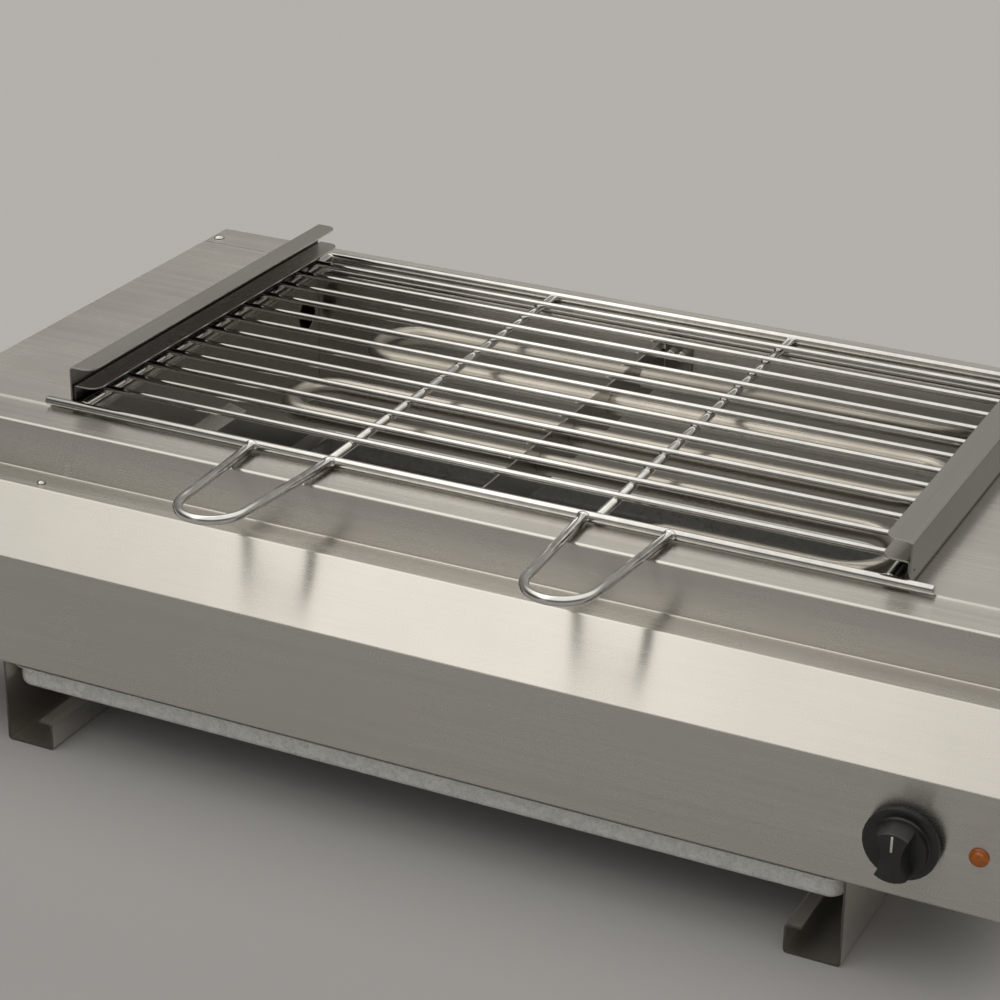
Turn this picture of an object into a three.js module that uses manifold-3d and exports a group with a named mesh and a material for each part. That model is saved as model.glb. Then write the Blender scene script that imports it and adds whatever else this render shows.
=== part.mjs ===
// Electric barbecue grill for a counter: a folded stainless body with a tubular
// heating element in an open well, two-level side rails, a welded wire grid that
// slides in the rails, and a galvanised drip tray that slides out under the well.
// Millimetres. X runs along the front, Y to the back, Z up.
import * as THREE from 'three';
import { mergeVertices } from 'three/addons/utils/BufferGeometryUtils.js';
import Module from 'manifold-3d';

const wasm = await Module();
wasm.setup();

// Steps of a curve, turns in degrees, clearances and sheet
const foldSteps = 4;
const rollSteps = 4;
const cornerSteps = 3;
const wireSteps = 22;
const quarterTurn = 90;
const halfTurn = 180;
const gap = 0.3;
const overrun = 4;
const sheet = 1;
const bendRadius = 1.4;

// Body, from the front face back and from the floor up
const bodyWidth = 860;
const bodyDepth = 500;
const bodyTop = 230;
const faceBottom = 66;
const faceHeight = 87;
const slantRun = 39;
const ledgeDepth = 25;
const stripDepth = 35;
const rearStripDepth = 38;
const edgeReturn = 12;

// Well under the opening of the top plate
const wellMargin = 119.5;
const mouthInset = 9.5;
const wellLap = 13;
const wellBottom = 86;
const wellFlange = 11;
const wellCorner = 5;
const ventDiameter = 26.5;
const ventSetback = 19.2;
const ventDrop = 35.5;

// Rails on the top plate, each an outer fold and an inner angle
const railStandOff = 10;
const railLead = 10.8;
const railLag = 16.5;
const railSheet = 1.2;
const railRise = 32;
const railFlange = 18;
const railBend = 1.5;
const railCorner = 9;
const midRise = 17;
const midFlange = 18.5;
const midSetback = 2;
const railHole = 2.4;
const railHoleInset = 7.7;
const railHoleHeight = 8.8;

// Wire grid in its rails
const gridShift = 0.5;
const endRodDiameter = 7;
const wireDiameter = 5;
const frontRodOverhang = 25;
const frontRodLead = 15;
const backRodOverhang = 0.5;
const backRodLag = 22;
const sideBarInset = 2.2;
const sideBarShift = -2.2;
const crossBarHalf = 102.5;
const gridRodOverhang = 5.5;
const gridRodCount = 12;
const firstRodInset = 17;
const lastRodInset = 9;
const weldSink = 0.4;

// Wire handles welded to the front rod
const handleSpan = 258.4;
const handleShift = -6.4;
const handleReach = 34;
const handleRootHalf = 31.3;
const handleNeckHalf = 25.5;
const handleTipDepth = 27;

// Tubular heating element
const tubeDiameter = 16;
const tubeDrop = 24;
const legDepthShares = [0.1276, 0.3086, 0.5104, 0.6825, 0.8932];
const rearBendInset = 102.5;
const frontBendInset = 96.5;
const rightBendInset = 18.5;
const lastBendInset = 17.5;
const returnLegLength = 112;
const returnTurnRadius = 20;
const coldEndLength = 14;

// Ends of the element
const glandFlats = 24;
const glandThickness = 7;
const bushDiameter = 12;
const bushLength = 7;
const bushTipShare = 0.7;
const pinDiameter = 4;
const pinLength = 14;

// Upright plate that carries the tubes half way along
const supportSheet = 1.5;
const supportOffset = 3.7;
const supportRise = 18;
const supportDrop = 18.5;
const supportFlange = 25;
const supportBoltInset = 7.5;
const supportBoltPitch = 9.6;
const supportBoltDrop = 17;
const supportTongue = 6;
const supportTongueHeight = 16;
const boltDiameter = 4;
const capNutFlats = 8;
const capNutHeight = 7;
const capNutDome = 3.5;
const capNutThread = 4.5;
const domeShare = 0.385;
const tipShare = 0.2;
const boltHeadHeight = 3;

// Rest tab at the front left of the well
const tabInset = 56.5;
const tabWidth = 20;
const tabLength = 100;
const tabSlant = 8;
const tabLeg = 16;
const tabRivetDrop = 10;

// Foot channels under both ends of the tray
const footSheet = 1.5;
const footInset = 106;
const footWidth = 39.5;
const footSetback = 3.5;
const footWallHeight = 22;
const footLip = 11.5;
const footShoulder = 96;
const footTab = 20;

// Drip tray and its runners
const trayClearance = 15;
const trayFront = 8;
const trayBackClearance = 10;
const trayBottom = 44;
const trayDepth = 18;
const traySheet = 1;
const trayCorner = 10;
const trayRoll = 5;
const trayRim = 4;
const runnerSheet = 1.2;
const runnerReach = 25;
const runnerDrop = 14;

// Rivets
const rivetHead = 6.5;
const rivetRise = 1.8;
const rivetShank = 3.2;
const rivetLength = 5;
const rivetShoulderShare = 0.8;
const ledgeRivetInset = 117.6;
const ledgeRivetDepth = 8.5;
const rearRivetInset = 7;
const rearRivetSetback = 25;

// Heat control on the lower face and the supply beside it
const controlInset = 70;
const controlClearance = 16.2;
const knobDiameter = 50;
const knobDepth = 24;
const knobSkirt = 6;
const knobBarrel = 38;
const knobGrip = 13;
const knobGripDepth = 13;
const knobScoopRadius = 30;
const knobStandOff = 3.4;
const knobSocketDepth = 16;
const spindleDiameter = 6;
const spindleDepth = 6;
const collarDiameter = 11;
const collarFlats = 15;
const collarNutThickness = 2.4;
const regulatorWidth = 46;
const regulatorHeight = 50;
const regulatorDepth = 34;
const regulatorCorner = 4;
const tagWidth = 6;
const tagThickness = 0.8;
const tagLength = 9;
const lampInset = 22;
const lampDiameter = 10;
const lampRim = 13;
const lampRimHeight = 1.6;
const lampDome = 3;
const lensShoulderShare = 0.8;
const lensRiseShare = 0.7;
const lampBodyLength = 24;
const clipOuter = 15;
const clipThickness = 2;
const blockLength = 46;
const blockWidth = 22;
const blockHeight = 18;
const blockSetback = 110;
const blockWays = 3;
const wireThickness = 3;
const blockScrew = 5;
const blockScrewDepth = 4;
const inletInset = 60;
const inletHeight = 110;
const inletThread = 20;
const inletBore = 9;
const inletFlats = 24;
const inletFlangeLength = 5;
const inletCapLength = 12;
const capSideShare = 0.55;
const capShoulderShare = 0.85;
const capShoulderWidthShare = 0.82;
const capMouthShare = 0.6;
const inletInnerLength = 12;
const lockNutThickness = 4;
const studDiameter = 5;
const studHeight = 14;
const studNutHeight = 4;
const studHeadShare = 0.8;
const studFlatsShare = 1.6;
const studSetback = 160;

// Places that follow from the sizes above
const faceTop = faceBottom + faceHeight;
const ledgeHeight = faceTop + slantRun;
const ledgeBack = slantRun + ledgeDepth;
const plateFront = ledgeBack + stripDepth;
const plateBack = bodyDepth - rearStripDepth;
const plateUnder = bodyTop - sheet;
const stripTop = plateUnder - gap;
const bodyRight = bodyWidth / 2;
const wellRight = bodyRight - wellMargin;
const mouthWidth = 2 * (wellRight - mouthInset);
const wellFront = plateFront + wellLap;
const wellBack = plateBack - wellLap;
const wellHalf = wellRight + sheet;
const gridBase = bodyTop + gap;
const endRodHeight = gridBase + endRodDiameter / 2;
const barHeight = gridBase + wireDiameter / 2;
const gridRodHeight = barHeight + wireDiameter - weldSink;
const frontRodY = wellFront - frontRodLead;
const backRodY = wellBack + backRodLag;
const railFront = wellFront - railLead;
const railBack = wellBack + railLag;
const baseTop = faceBottom + sheet + gap;
const tubeHeight = bodyTop - tubeDrop;
const supportBoltHeight = bodyTop - supportBoltDrop;
const controlX = bodyRight - controlInset;
const controlHeight = baseTop + sheet + controlClearance + regulatorHeight / 2;
const footHalf = bodyRight - footInset;
const trayBack = bodyDepth - trayBackClearance;

// Materials
const steelColour = 0xb9b5ae;
const chromeColour = 0xd6d7d8;
const zincColour = 0x9aa09c;
const tubeColour = 0xb6aa98;

function metal(colour, roughness) {
  return new THREE.MeshStandardMaterial({ color: colour, roughness, metalness: 1 });
}

function plastic(colour, roughness) {
  return new THREE.MeshStandardMaterial({ color: colour, roughness, metalness: 0 });
}

// Solids for joining and cutting
function solid(geometry) {
  const bare = geometry.clone();
  bare.deleteAttribute('normal');
  bare.deleteAttribute('uv');
  const merged = mergeVertices(bare);
  const vertProperties = Float32Array.from(merged.attributes.position.array);
  const triVerts = Uint32Array.from(merged.index.array);
  return new wasm.Manifold(new wasm.Mesh({ numProp: 3, vertProperties, triVerts }));
}

function geometryOf(body) {
  const mesh = body.getMesh();
  const geometry = new THREE.BufferGeometry();
  geometry.setAttribute('position', new THREE.Float32BufferAttribute(mesh.vertProperties, 3));
  geometry.setIndex(Array.from(mesh.triVerts));
  geometry.computeVertexNormals();
  return geometry;
}

function cut(geometry, ...tools) {
  const result = tools.reduce((body, tool) => body.subtract(solid(tool)), solid(geometry));
  return geometryOf(result);
}

function join(...geometries) {
  const solids = geometries.map(solid);
  return geometryOf(solids.reduce((body, other) => body.add(other)));
}

function intersect(geometry, tool) {
  return geometryOf(solid(geometry).intersect(solid(tool)));
}

// Extrusions of an outline along each axis, from one place to another
function extrude(shape, length) {
  return new THREE.ExtrudeGeometry(shape, { depth: length, bevelEnabled: false, curveSegments: 6 });
}

function alongX(shape, start, end) {
  const turn = new THREE.Matrix4().makeBasis(
    new THREE.Vector3(0, 1, 0), new THREE.Vector3(0, 0, 1), new THREE.Vector3(1, 0, 0));
  return extrude(shape, end - start).applyMatrix4(turn).translate(start, 0, 0);
}

function alongY(shape, start, end) {
  const turn = new THREE.Matrix4().makeBasis(
    new THREE.Vector3(1, 0, 0), new THREE.Vector3(0, 0, 1), new THREE.Vector3(0, -1, 0));
  return extrude(shape, end - start).applyMatrix4(turn).translate(0, end, 0);
}

function alongZ(shape, start, end) {
  return extrude(shape, end - start).translate(0, 0, start);
}

function boxBetween(x0, x1, y0, y1, z0, z1) {
  const box = new THREE.BoxGeometry(x1 - x0, y1 - y0, z1 - z0);
  return box.translate((x0 + x1) / 2, (y0 + y1) / 2, (z0 + z1) / 2);
}

// Round bars and round cutters along an axis
function rodX(radius, x0, x1, y, z, sides = 16) {
  const rod = new THREE.CylinderGeometry(radius, radius, x1 - x0, sides);
  return rod.rotateZ(-Math.PI / 2).translate((x0 + x1) / 2, y, z);
}

function rodY(radius, y0, y1, x, z, sides = 16) {
  return new THREE.CylinderGeometry(radius, radius, y1 - y0, sides).translate(x, (y0 + y1) / 2, z);
}

function rodZ(radius, z0, z1, x, y, sides = 16) {
  const rod = new THREE.CylinderGeometry(radius, radius, z1 - z0, sides);
  return rod.rotateX(Math.PI / 2).translate(x, y, (z0 + z1) / 2);
}

// A lathe turned about Z, with its profile as [radius, height] pairs
function turned(profile, sides = 24) {
  const points = profile.map(([radius, height]) => new THREE.Vector2(radius, height));
  return new THREE.LatheGeometry(points, sides).rotateX(Math.PI / 2);
}

function hexagon(flats) {
  const shape = new THREE.Shape();
  const reach = flats / Math.sqrt(3);
  for (let corner = 0; corner < 6; corner += 1) {
    const angle = (corner * Math.PI) / 3 + Math.PI / 6;
    const point = [reach * Math.cos(angle), reach * Math.sin(angle)];
    if (corner === 0) shape.moveTo(...point);
    else shape.lineTo(...point);
  }
  shape.closePath();
  return shape;
}

function rectangle(width, height, radius) {
  const shape = new THREE.Shape();
  const right = width / 2;
  const top = height / 2;
  shape.moveTo(radius - right, -top);
  shape.absarc(right - radius, radius - top, radius, -Math.PI / 2, 0);
  shape.absarc(right - radius, top - radius, radius, 0, Math.PI / 2);
  shape.absarc(radius - right, top - radius, radius, Math.PI / 2, Math.PI);
  shape.absarc(radius - right, radius - top, radius, Math.PI, 1.5 * Math.PI);
  shape.closePath();
  return shape;
}

// The section of a folded sheet: a path along one skin, the sheet on its left
// side (side 1) or its right side (side -1), and round folds at every corner
function foldedSheet(path, thickness, insideRadius, side) {
  const points = path.map(([u, v]) => new THREE.Vector2(u, v));
  const skin = [];
  const back = [];
  const normalOf = (direction) => new THREE.Vector2(-direction.y, direction.x).multiplyScalar(side);
  const steps = points.slice(1).map((point, i) => point.clone().sub(points[i]).normalize());
  skin.push(points[0].clone());
  back.push(points[0].clone().addScaledVector(normalOf(steps[0]), thickness));
  for (let i = 1; i < points.length - 1; i += 1) {
    const before = steps[i - 1];
    const after = steps[i];
    const turn = before.x * after.y - before.y * after.x;
    const angle = Math.atan2(turn, before.dot(after));
    const towards = Math.sign(turn) * side > 0;
    const skinRadius = towards ? insideRadius + thickness : insideRadius;
    const backRadius = towards ? insideRadius : insideRadius + thickness;
    const run = skinRadius * Math.tan(Math.abs(angle) / 2);
    const start = points[i].clone().addScaledVector(before, -run);
    const sense = towards ? side : -side;
    const centre = start.clone().addScaledVector(new THREE.Vector2(-before.y, before.x), sense * skinRadius);
    const first = start.clone().sub(centre).normalize();
    for (let k = 0; k <= foldSteps; k += 1) {
      const ray = first.clone().rotateAround(new THREE.Vector2(), (angle * k) / foldSteps);
      skin.push(centre.clone().addScaledVector(ray, skinRadius));
      back.push(centre.clone().addScaledVector(ray, backRadius));
    }
  }
  const last = steps[steps.length - 1];
  skin.push(points[points.length - 1].clone());
  back.push(points[points.length - 1].clone().addScaledVector(normalOf(last), thickness));
  return new THREE.Shape([...skin, ...back.reverse()]);
}

// A straight-sided outline moved inward by one distance
function insetOutline(points, distance) {
  const count = points.length;
  return points.map(([u, v], i) => {
    const [pu, pv] = points[(i + count - 1) % count];
    const [nu, nv] = points[(i + 1) % count];
    const before = new THREE.Vector2(u - pu, v - pv).normalize();
    const after = new THREE.Vector2(nu - u, nv - v).normalize();
    const mitre = new THREE.Vector2(-before.y - after.y, before.x + after.x);
    const scale = (2 * distance) / mitre.lengthSq();
    return new THREE.Vector2(u, v).addScaledVector(mitre, scale);
  });
}

// A path given by its stations, so that straight runs need no extra rings
class StationPath extends THREE.Curve {
  constructor(stations) {
    super();
    this.stations = stations;
  }

  getPoint(t, target = new THREE.Vector3()) {
    const place = t * (this.stations.length - 1);
    const index = Math.min(Math.floor(place), this.stations.length - 2);
    return target.lerpVectors(this.stations[index], this.stations[index + 1], place - index);
  }

  getPointAt(t, target) {
    return this.getPoint(t, target);
  }

  getTangentAt(t, target = new THREE.Vector3()) {
    const index = Math.round(t * (this.stations.length - 1));
    const before = this.stations[Math.max(index - 1, 0)];
    const here = this.stations[index];
    const after = this.stations[Math.min(index + 1, this.stations.length - 1)];
    const arriving = here.clone().sub(before).normalize();
    const leaving = after.clone().sub(here).normalize();
    return target.addVectors(arriving, leaving).normalize();
  }

  getSpacedPoints(divisions) {
    return this.getPoints(divisions);
  }
}

function circle(radius, sides) {
  const points = [];
  for (let i = 0; i < sides; i += 1) {
    const angle = (i * 2 * Math.PI) / sides;
    points.push(new THREE.Vector2(radius * Math.cos(angle), radius * Math.sin(angle)));
  }
  return new THREE.Shape(points);
}

function wireAlong(stations, radius, sides) {
  return new THREE.ExtrudeGeometry(circle(radius, sides), {
    steps: stations.length - 1,
    bevelEnabled: false,
    extrudePath: new StationPath(stations),
  });
}

// Stations round an arc in a level plane, angles in degrees
function levelArc(x, y, radiusX, radiusY, from, to, z, steps) {
  const stations = [];
  for (let i = 0; i <= steps; i += 1) {
    const angle = THREE.MathUtils.degToRad(from + ((to - from) * i) / steps);
    stations.push(new THREE.Vector3(x + radiusX * Math.cos(angle), y + radiusY * Math.sin(angle), z));
  }
  return stations;
}

// A closed solid through level rings of the same number of points
function loft(rings) {
  const count = rings[0].length;
  const positions = rings.flat().flatMap((point) => [point.x, point.y, point.z]);
  const index = [];
  rings.slice(1).forEach((_, level) => {
    for (let i = 0; i < count; i += 1) {
      const next = (i + 1) % count;
      const a = level * count + i;
      const b = level * count + next;
      index.push(a, b, b + count);
      index.push(a, b + count, a + count);
    }
  });
  const flat = (ring) => ring.map((point) => new THREE.Vector2(point.x, point.y));
  const last = (rings.length - 1) * count;
  const floor = THREE.ShapeUtils.triangulateShape(flat(rings[0]), []);
  floor.forEach(([a, b, c]) => index.push(a, c, b));
  const lid = THREE.ShapeUtils.triangulateShape(flat(rings[rings.length - 1]), []);
  lid.forEach(([a, b, c]) => index.push(last + a, last + b, last + c));
  const geometry = new THREE.BufferGeometry();
  geometry.setAttribute('position', new THREE.Float32BufferAttribute(positions, 3));
  geometry.setIndex(index);
  geometry.computeVertexNormals();
  return geometry;
}

// The grill, measured from the middle of its front face and from the floor
const grill = new THREE.Group();
const rearReach = bodyDepth + inletFlangeLength + inletCapLength + gap;
grill.position.y = (handleReach - rearReach) / 2;

function add(name, geometry, material) {
  const mesh = new THREE.Mesh(geometry, material);
  mesh.name = name;
  grill.add(mesh);
}

const steel = metal(steelColour, 0.32);
const chrome = metal(chromeColour, 0.12);

// Front fascia: one sheet folded into the lower face, slanted face, ledge, drop and strip
const ledgeRivetY = slantRun + ledgeRivetDepth;
const ledgeRivetX = bodyRight - ledgeRivetInset;
const notchHalf = footSheet / 2 + gap;

function footNotch(side, y0, y1) {
  const x = side * (footHalf - footSheet / 2);
  return boxBetween(x - notchHalf, x + notchHalf, y0, y1, faceBottom - overrun, baseTop);
}

function frontFascia() {
  const path = [
    [edgeReturn, faceBottom],
    [0, faceBottom],
    [0, faceTop],
    [slantRun, ledgeHeight],
    [ledgeBack, ledgeHeight],
    [ledgeBack, stripTop],
    [wellFront - sheet - gap, stripTop],
  ];
  const skin = alongX(foldedSheet(path, sheet, bendRadius, -1), -bodyRight, bodyRight);
  const rivetHole = (x) => rodZ(
    rivetShank / 2 + gap, ledgeHeight - overrun, ledgeHeight + overrun, x, ledgeRivetY, 12);
  const collarHole = rodY(collarDiameter / 2 + gap, -overrun, overrun, controlX, controlHeight, 24);
  const lampHole = rodY(
    lampDiameter / 2 + gap, -overrun, overrun, bodyRight - lampInset, controlHeight, 24);
  const notchStart = footSetback - gap;
  return cut(
    skin, rivetHole(ledgeRivetX), rivetHole(-ledgeRivetX), collarHole, lampHole,
    footNotch(-1, notchStart, edgeReturn + overrun), footNotch(1, notchStart, edgeReturn + overrun));
}
add('front_fascia', frontFascia(), steel);

// Rear panel: the rear strip on top, the back wall and a return under it
const inletX = bodyRight - inletInset;
const rearRivetX = bodyRight - rearRivetInset;
const rearRivetY = bodyDepth - rearRivetSetback;

function rivetHoleTop(side) {
  return rodZ(rivetShank / 2 + gap, stripTop - overrun, bodyTop, side * rearRivetX, rearRivetY, 12);
}

function rearPanel() {
  const path = [
    [bodyDepth - edgeReturn, faceBottom],
    [bodyDepth, faceBottom],
    [bodyDepth, stripTop],
    [wellBack + sheet + gap, stripTop],
  ];
  const skin = alongX(foldedSheet(path, sheet, bendRadius, 1), -bodyRight, bodyRight);
  const inletHole = rodY(
    inletThread / 2 + gap, bodyDepth - overrun, bodyDepth + overrun, inletX, inletHeight, 24);
  const notchStart = bodyDepth - edgeReturn - overrun;
  const notchEnd = bodyDepth - footSetback + gap;
  return cut(
    skin, inletHole, rivetHoleTop(1), rivetHoleTop(-1),
    footNotch(-1, notchStart, notchEnd), footNotch(1, notchStart, notchEnd));
}
add('rear_panel', rearPanel(), steel);

// Top plate, whose mouth is a little narrower than the well under it
function topPlate() {
  const plate = rectangle(bodyWidth, plateBack - plateFront, gap);
  plate.holes.push(rectangle(mouthWidth, wellBack - wellFront, wellCorner));
  return alongZ(plate, plateUnder, bodyTop).translate(0, (plateFront + plateBack) / 2, 0);
}
add('top_plate', topPlate(), steel);

// End panels: flat pans inside the folded skins, with a flange along the top
function endPanel(side) {
  const outline = [
    [0, faceBottom],
    [bodyDepth, faceBottom],
    [bodyDepth, stripTop],
    [ledgeBack, stripTop],
    [ledgeBack, ledgeHeight],
    [slantRun, ledgeHeight],
    [0, faceTop],
  ];
  const clear = sheet + gap + bendRadius / 2;
  const face = alongX(new THREE.Shape(insetOutline(outline, clear)), bodyRight - sheet, bodyRight);
  const top = stripTop - clear;
  const flange = boxBetween(
    bodyRight - edgeReturn, bodyRight - sheet / 2, ledgeBack + clear, bodyDepth - clear, top - sheet, top);
  const hole = rivetHoleTop(1);
  const panel = cut(join(face, flange), hole);
  return side > 0 ? panel : mirrored(panel);
}

// The left-hand copy of a right-hand piece, with its faces still pointing out
function mirrored(geometry) {
  const copy = geometry.clone();
  copy.scale(-1, 1, 1);
  const flipped = copy.index ? copy : mergeVertices(copy);
  const order = flipped.index.array;
  for (let i = 0; i < order.length; i += 3) {
    const keep = order[i + 1];
    order[i + 1] = order[i + 2];
    order[i + 2] = keep;
  }
  flipped.computeVertexNormals();
  return flipped;
}
add('left_end_panel', endPanel(-1), steel);
add('right_end_panel', endPanel(1), steel);

// Base sheets close the compartments under both ends and lie on the returns
function baseSheet() {
  const inner = footHalf + gap;
  const outer = bodyRight - sheet - gap;
  const front = sheet + gap + bendRadius;
  return boxBetween(inner, outer, front, bodyDepth - front, baseTop, baseTop + sheet);
}

function studHoleTool(x) {
  return rodZ(studDiameter / 2 + gap, faceBottom, baseTop + sheet + overrun, x, bodyDepth - studSetback, 16);
}
add('left_base_sheet', mirrored(baseSheet()), steel);
add('right_base_sheet', cut(baseSheet(), studHoleTool(controlX)), steel);

// Heating element: five legs in one plane, bent from one tube
const tubeRadius = tubeDiameter / 2;
const legYs = legDepthShares.map((share) => wellBack - share * (wellBack - wellFront));
const tubeStart = wellHalf + coldEndLength;
const tubeEnd = wellFront - sheet - coldEndLength;
const bendRadii = legYs.slice(1).map((y, i) => (legYs[i] - y) / 2);
const lastBendX = wellRight - lastBendInset - tubeRadius - bendRadii[3];
const returnX = lastBendX - returnLegLength;

function bend(x, index, sense) {
  const radius = bendRadii[index];
  const centre = legYs[index] - radius;
  const end = quarterTurn - sense * halfTurn;
  return levelArc(x - sense * radius, centre, radius, radius, quarterTurn, end, tubeHeight, 11);
}

function tubeStations() {
  const rearApex = tubeRadius + rearBendInset - wellRight;
  const frontApex = tubeRadius + frontBendInset - wellRight;
  const rightApex = wellRight - rightBendInset - tubeRadius;
  const lastApex = wellRight - lastBendInset - tubeRadius;
  const turn = levelArc(
    returnX, legYs[4] - returnTurnRadius, returnTurnRadius, returnTurnRadius, quarterTurn, halfTurn,
    tubeHeight, 6);
  return [
    new THREE.Vector3(tubeStart, legYs[0], tubeHeight),
    ...bend(rearApex, 0, -1),
    ...bend(rightApex, 1, 1),
    ...bend(frontApex, 2, -1),
    ...bend(lastApex, 3, 1),
    ...turn,
    new THREE.Vector3(returnX - returnTurnRadius, tubeEnd, tubeHeight),
  ];
}
const returnEndX = returnX - returnTurnRadius;
add('heating_element', wireAlong(tubeStations(), tubeRadius, 14), metal(tubeColour, 0.35));

// Walls of the well hang from flanges under the top plate
function tubeHoleX(y, x0, x1) {
  return rodX(tubeRadius + 2 * gap, x0, x1, y, tubeHeight, 20);
}

function wellSideWall() {
  const path = [
    [wellRight + wellFlange, plateUnder - gap],
    [wellRight, plateUnder - gap],
    [wellRight, wellBottom],
  ];
  return alongY(foldedSheet(path, sheet, bendRadius, 1), wellFront + gap, wellBack - gap);
}

function wellLeftWall() {
  const vent = rodX(
    ventDiameter / 2, -wellHalf - overrun, overrun - wellRight,
    wellBack - ventSetback, bodyTop - ventDrop, 28);
  return cut(mirrored(wellSideWall()), vent);
}

function wellEndWall(inner, sense) {
  const top = stripTop - sheet - gap;
  const path = [
    [inner + sense * wellFlange, top],
    [inner, top],
    [inner, wellBottom],
  ];
  return alongX(foldedSheet(path, sheet, bendRadius, sense), -wellHalf, wellHalf);
}

const supportX = supportOffset;
const supportBoltX = supportX + supportBoltInset;
const supportBoltXs = [supportBoltX, supportBoltX + supportBoltPitch];
const tongueFront = wellFront - sheet - supportTongue;
const tongueHalf = supportTongueHeight / 2;

function supportBoltHole(x) {
  return rodY(boltDiameter / 2 + gap, wellBack - overrun, wellBack + overrun, x, supportBoltHeight, 12);
}

const tabX = tabInset - wellRight;
const tabRivetX = tabX + tabWidth / 2;
const tabRivetZ = tubeHeight - tabRivetDrop;

function tabRivetHole() {
  const radius = rivetShank / 2 + gap;
  return rodY(radius, wellFront - sheet - overrun, wellFront + overrun, tabRivetX, tabRivetZ, 12);
}

function wellFrontWall() {
  const wall = wellEndWall(wellFront, -1);
  const outer = wellFront - sheet - overrun;
  const tubeHole = rodY(tubeRadius + 2 * gap, outer, wellFront + overrun, returnEndX, tubeHeight, 20);
  const slot = boxBetween(
    supportX - gap, supportX + supportSheet + gap, outer, wellFront + overrun,
    tubeHeight - tongueHalf - gap, tubeHeight + tongueHalf + gap);
  return cut(wall, tubeHole, tabRivetHole(), slot);
}

function wellRearWall() {
  return cut(wellEndWall(wellBack, 1), ...supportBoltXs.map(supportBoltHole));
}

const wellSteel = metal(steelColour, 0.22);
add('well_left_wall', wellLeftWall(), wellSteel);
const coldEndHole = tubeHoleX(legYs[0], wellRight - overrun, wellHalf + overrun);
add('well_right_wall', cut(wellSideWall(), coldEndHole), wellSteel);
add('well_front_wall', wellFrontWall(), wellSteel);
add('well_rear_wall', wellRearWall(), wellSteel);

// Upright support plate: the tubes run through it, a tongue hooks it in front and
// a flange bolts it to the rear wall
const supportFront = wellFront + gap;
const supportBack = wellBack - gap;
const supportTop = tubeHeight + supportRise;
const supportBottom = tubeHeight - supportDrop;

function supportPlate() {
  const path = [
    [supportX + supportFlange, supportBack],
    [supportX, supportBack],
    [supportX, tongueFront],
  ];
  const blank = alongZ(foldedSheet(path, supportSheet, bendRadius, 1), supportBottom, supportTop);
  const notch = (z0, z1) => boxBetween(
    supportX - overrun, supportX + overrun, tongueFront - overrun, supportFront, z0, z1);
  const above = notch(tubeHeight + tongueHalf, supportTop + overrun);
  const below = notch(supportBottom - overrun, tubeHeight - tongueHalf);
  const holes = legYs.slice(0, 4).map((y) => tubeHoleX(y, supportX - overrun, supportX + overrun));
  return cut(blank, above, below, ...holes, ...supportBoltXs.map(supportBoltHole));
}
add('element_support_plate', supportPlate(), wellSteel);

// Cap nuts inside the well and their bolts from outside
function capNut() {
  const skirt = capNutHeight - capNutDome;
  const body = alongZ(hexagon(capNutFlats), 0, skirt);
  const dome = turned([
    [0, 0], [capNutFlats / 2 - gap, 0], [capNutFlats / 2 - gap, skirt],
    [capNutFlats * domeShare, capNutHeight - sheet], [capNutFlats * tipShare, capNutHeight - gap],
    [0, capNutHeight],
  ], 16);
  const bore = rodZ(boltDiameter / 2 + gap, -overrun, capNutThread, 0, 0, 12);
  return cut(join(body, dome), bore);
}

function facing(geometry, x, y, z, sense) {
  return geometry.rotateX((sense * Math.PI) / 2).translate(x, y, z);
}

function supportBolt() {
  const through = sheet + supportSheet + 3 * gap + capNutThread / 2;
  const head = alongZ(hexagon(capNutFlats), -boltHeadHeight, 0);
  return join(head, rodZ(boltDiameter / 2, -gap, through, 0, 0, 12));
}
const nutFace = supportBack - supportSheet - gap;
const boltFace = wellBack + sheet + gap;
const boltSteel = metal(chromeColour, 0.3);
['left', 'right'].forEach((side, i) => {
  const x = supportBoltXs[i];
  add(`support_cap_nut_${side}`, facing(capNut(), x, nutFace, supportBoltHeight, 1), chrome);
  add(`support_bolt_${side}`, facing(supportBolt(), x, boltFace, supportBoltHeight, 1), boltSteel);
});

// Rest tab riveted to the front wall, with a slanted end
function restTab() {
  const path = [
    [supportFront, tubeHeight - tabLeg],
    [supportFront, tubeHeight],
    [supportFront + tabLength, tubeHeight],
  ];
  const strip = alongX(foldedSheet(path, sheet, bendRadius, -1), tabX, tabX + tabWidth);
  const plan = new THREE.Shape([
    new THREE.Vector2(tabX - gap, supportFront - gap),
    new THREE.Vector2(tabX + tabWidth + gap, supportFront - gap),
    new THREE.Vector2(tabX + tabWidth + gap, supportFront + tabLength - tabSlant),
    new THREE.Vector2(tabX - gap, supportFront + tabLength),
  ]);
  const trimmed = intersect(strip, alongZ(plan, tubeHeight - tabLeg - overrun, tubeHeight + overrun));
  return cut(trimmed, tabRivetHole());
}
add('element_rest_tab', restTab(), metal(steelColour, 0.3));

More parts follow.
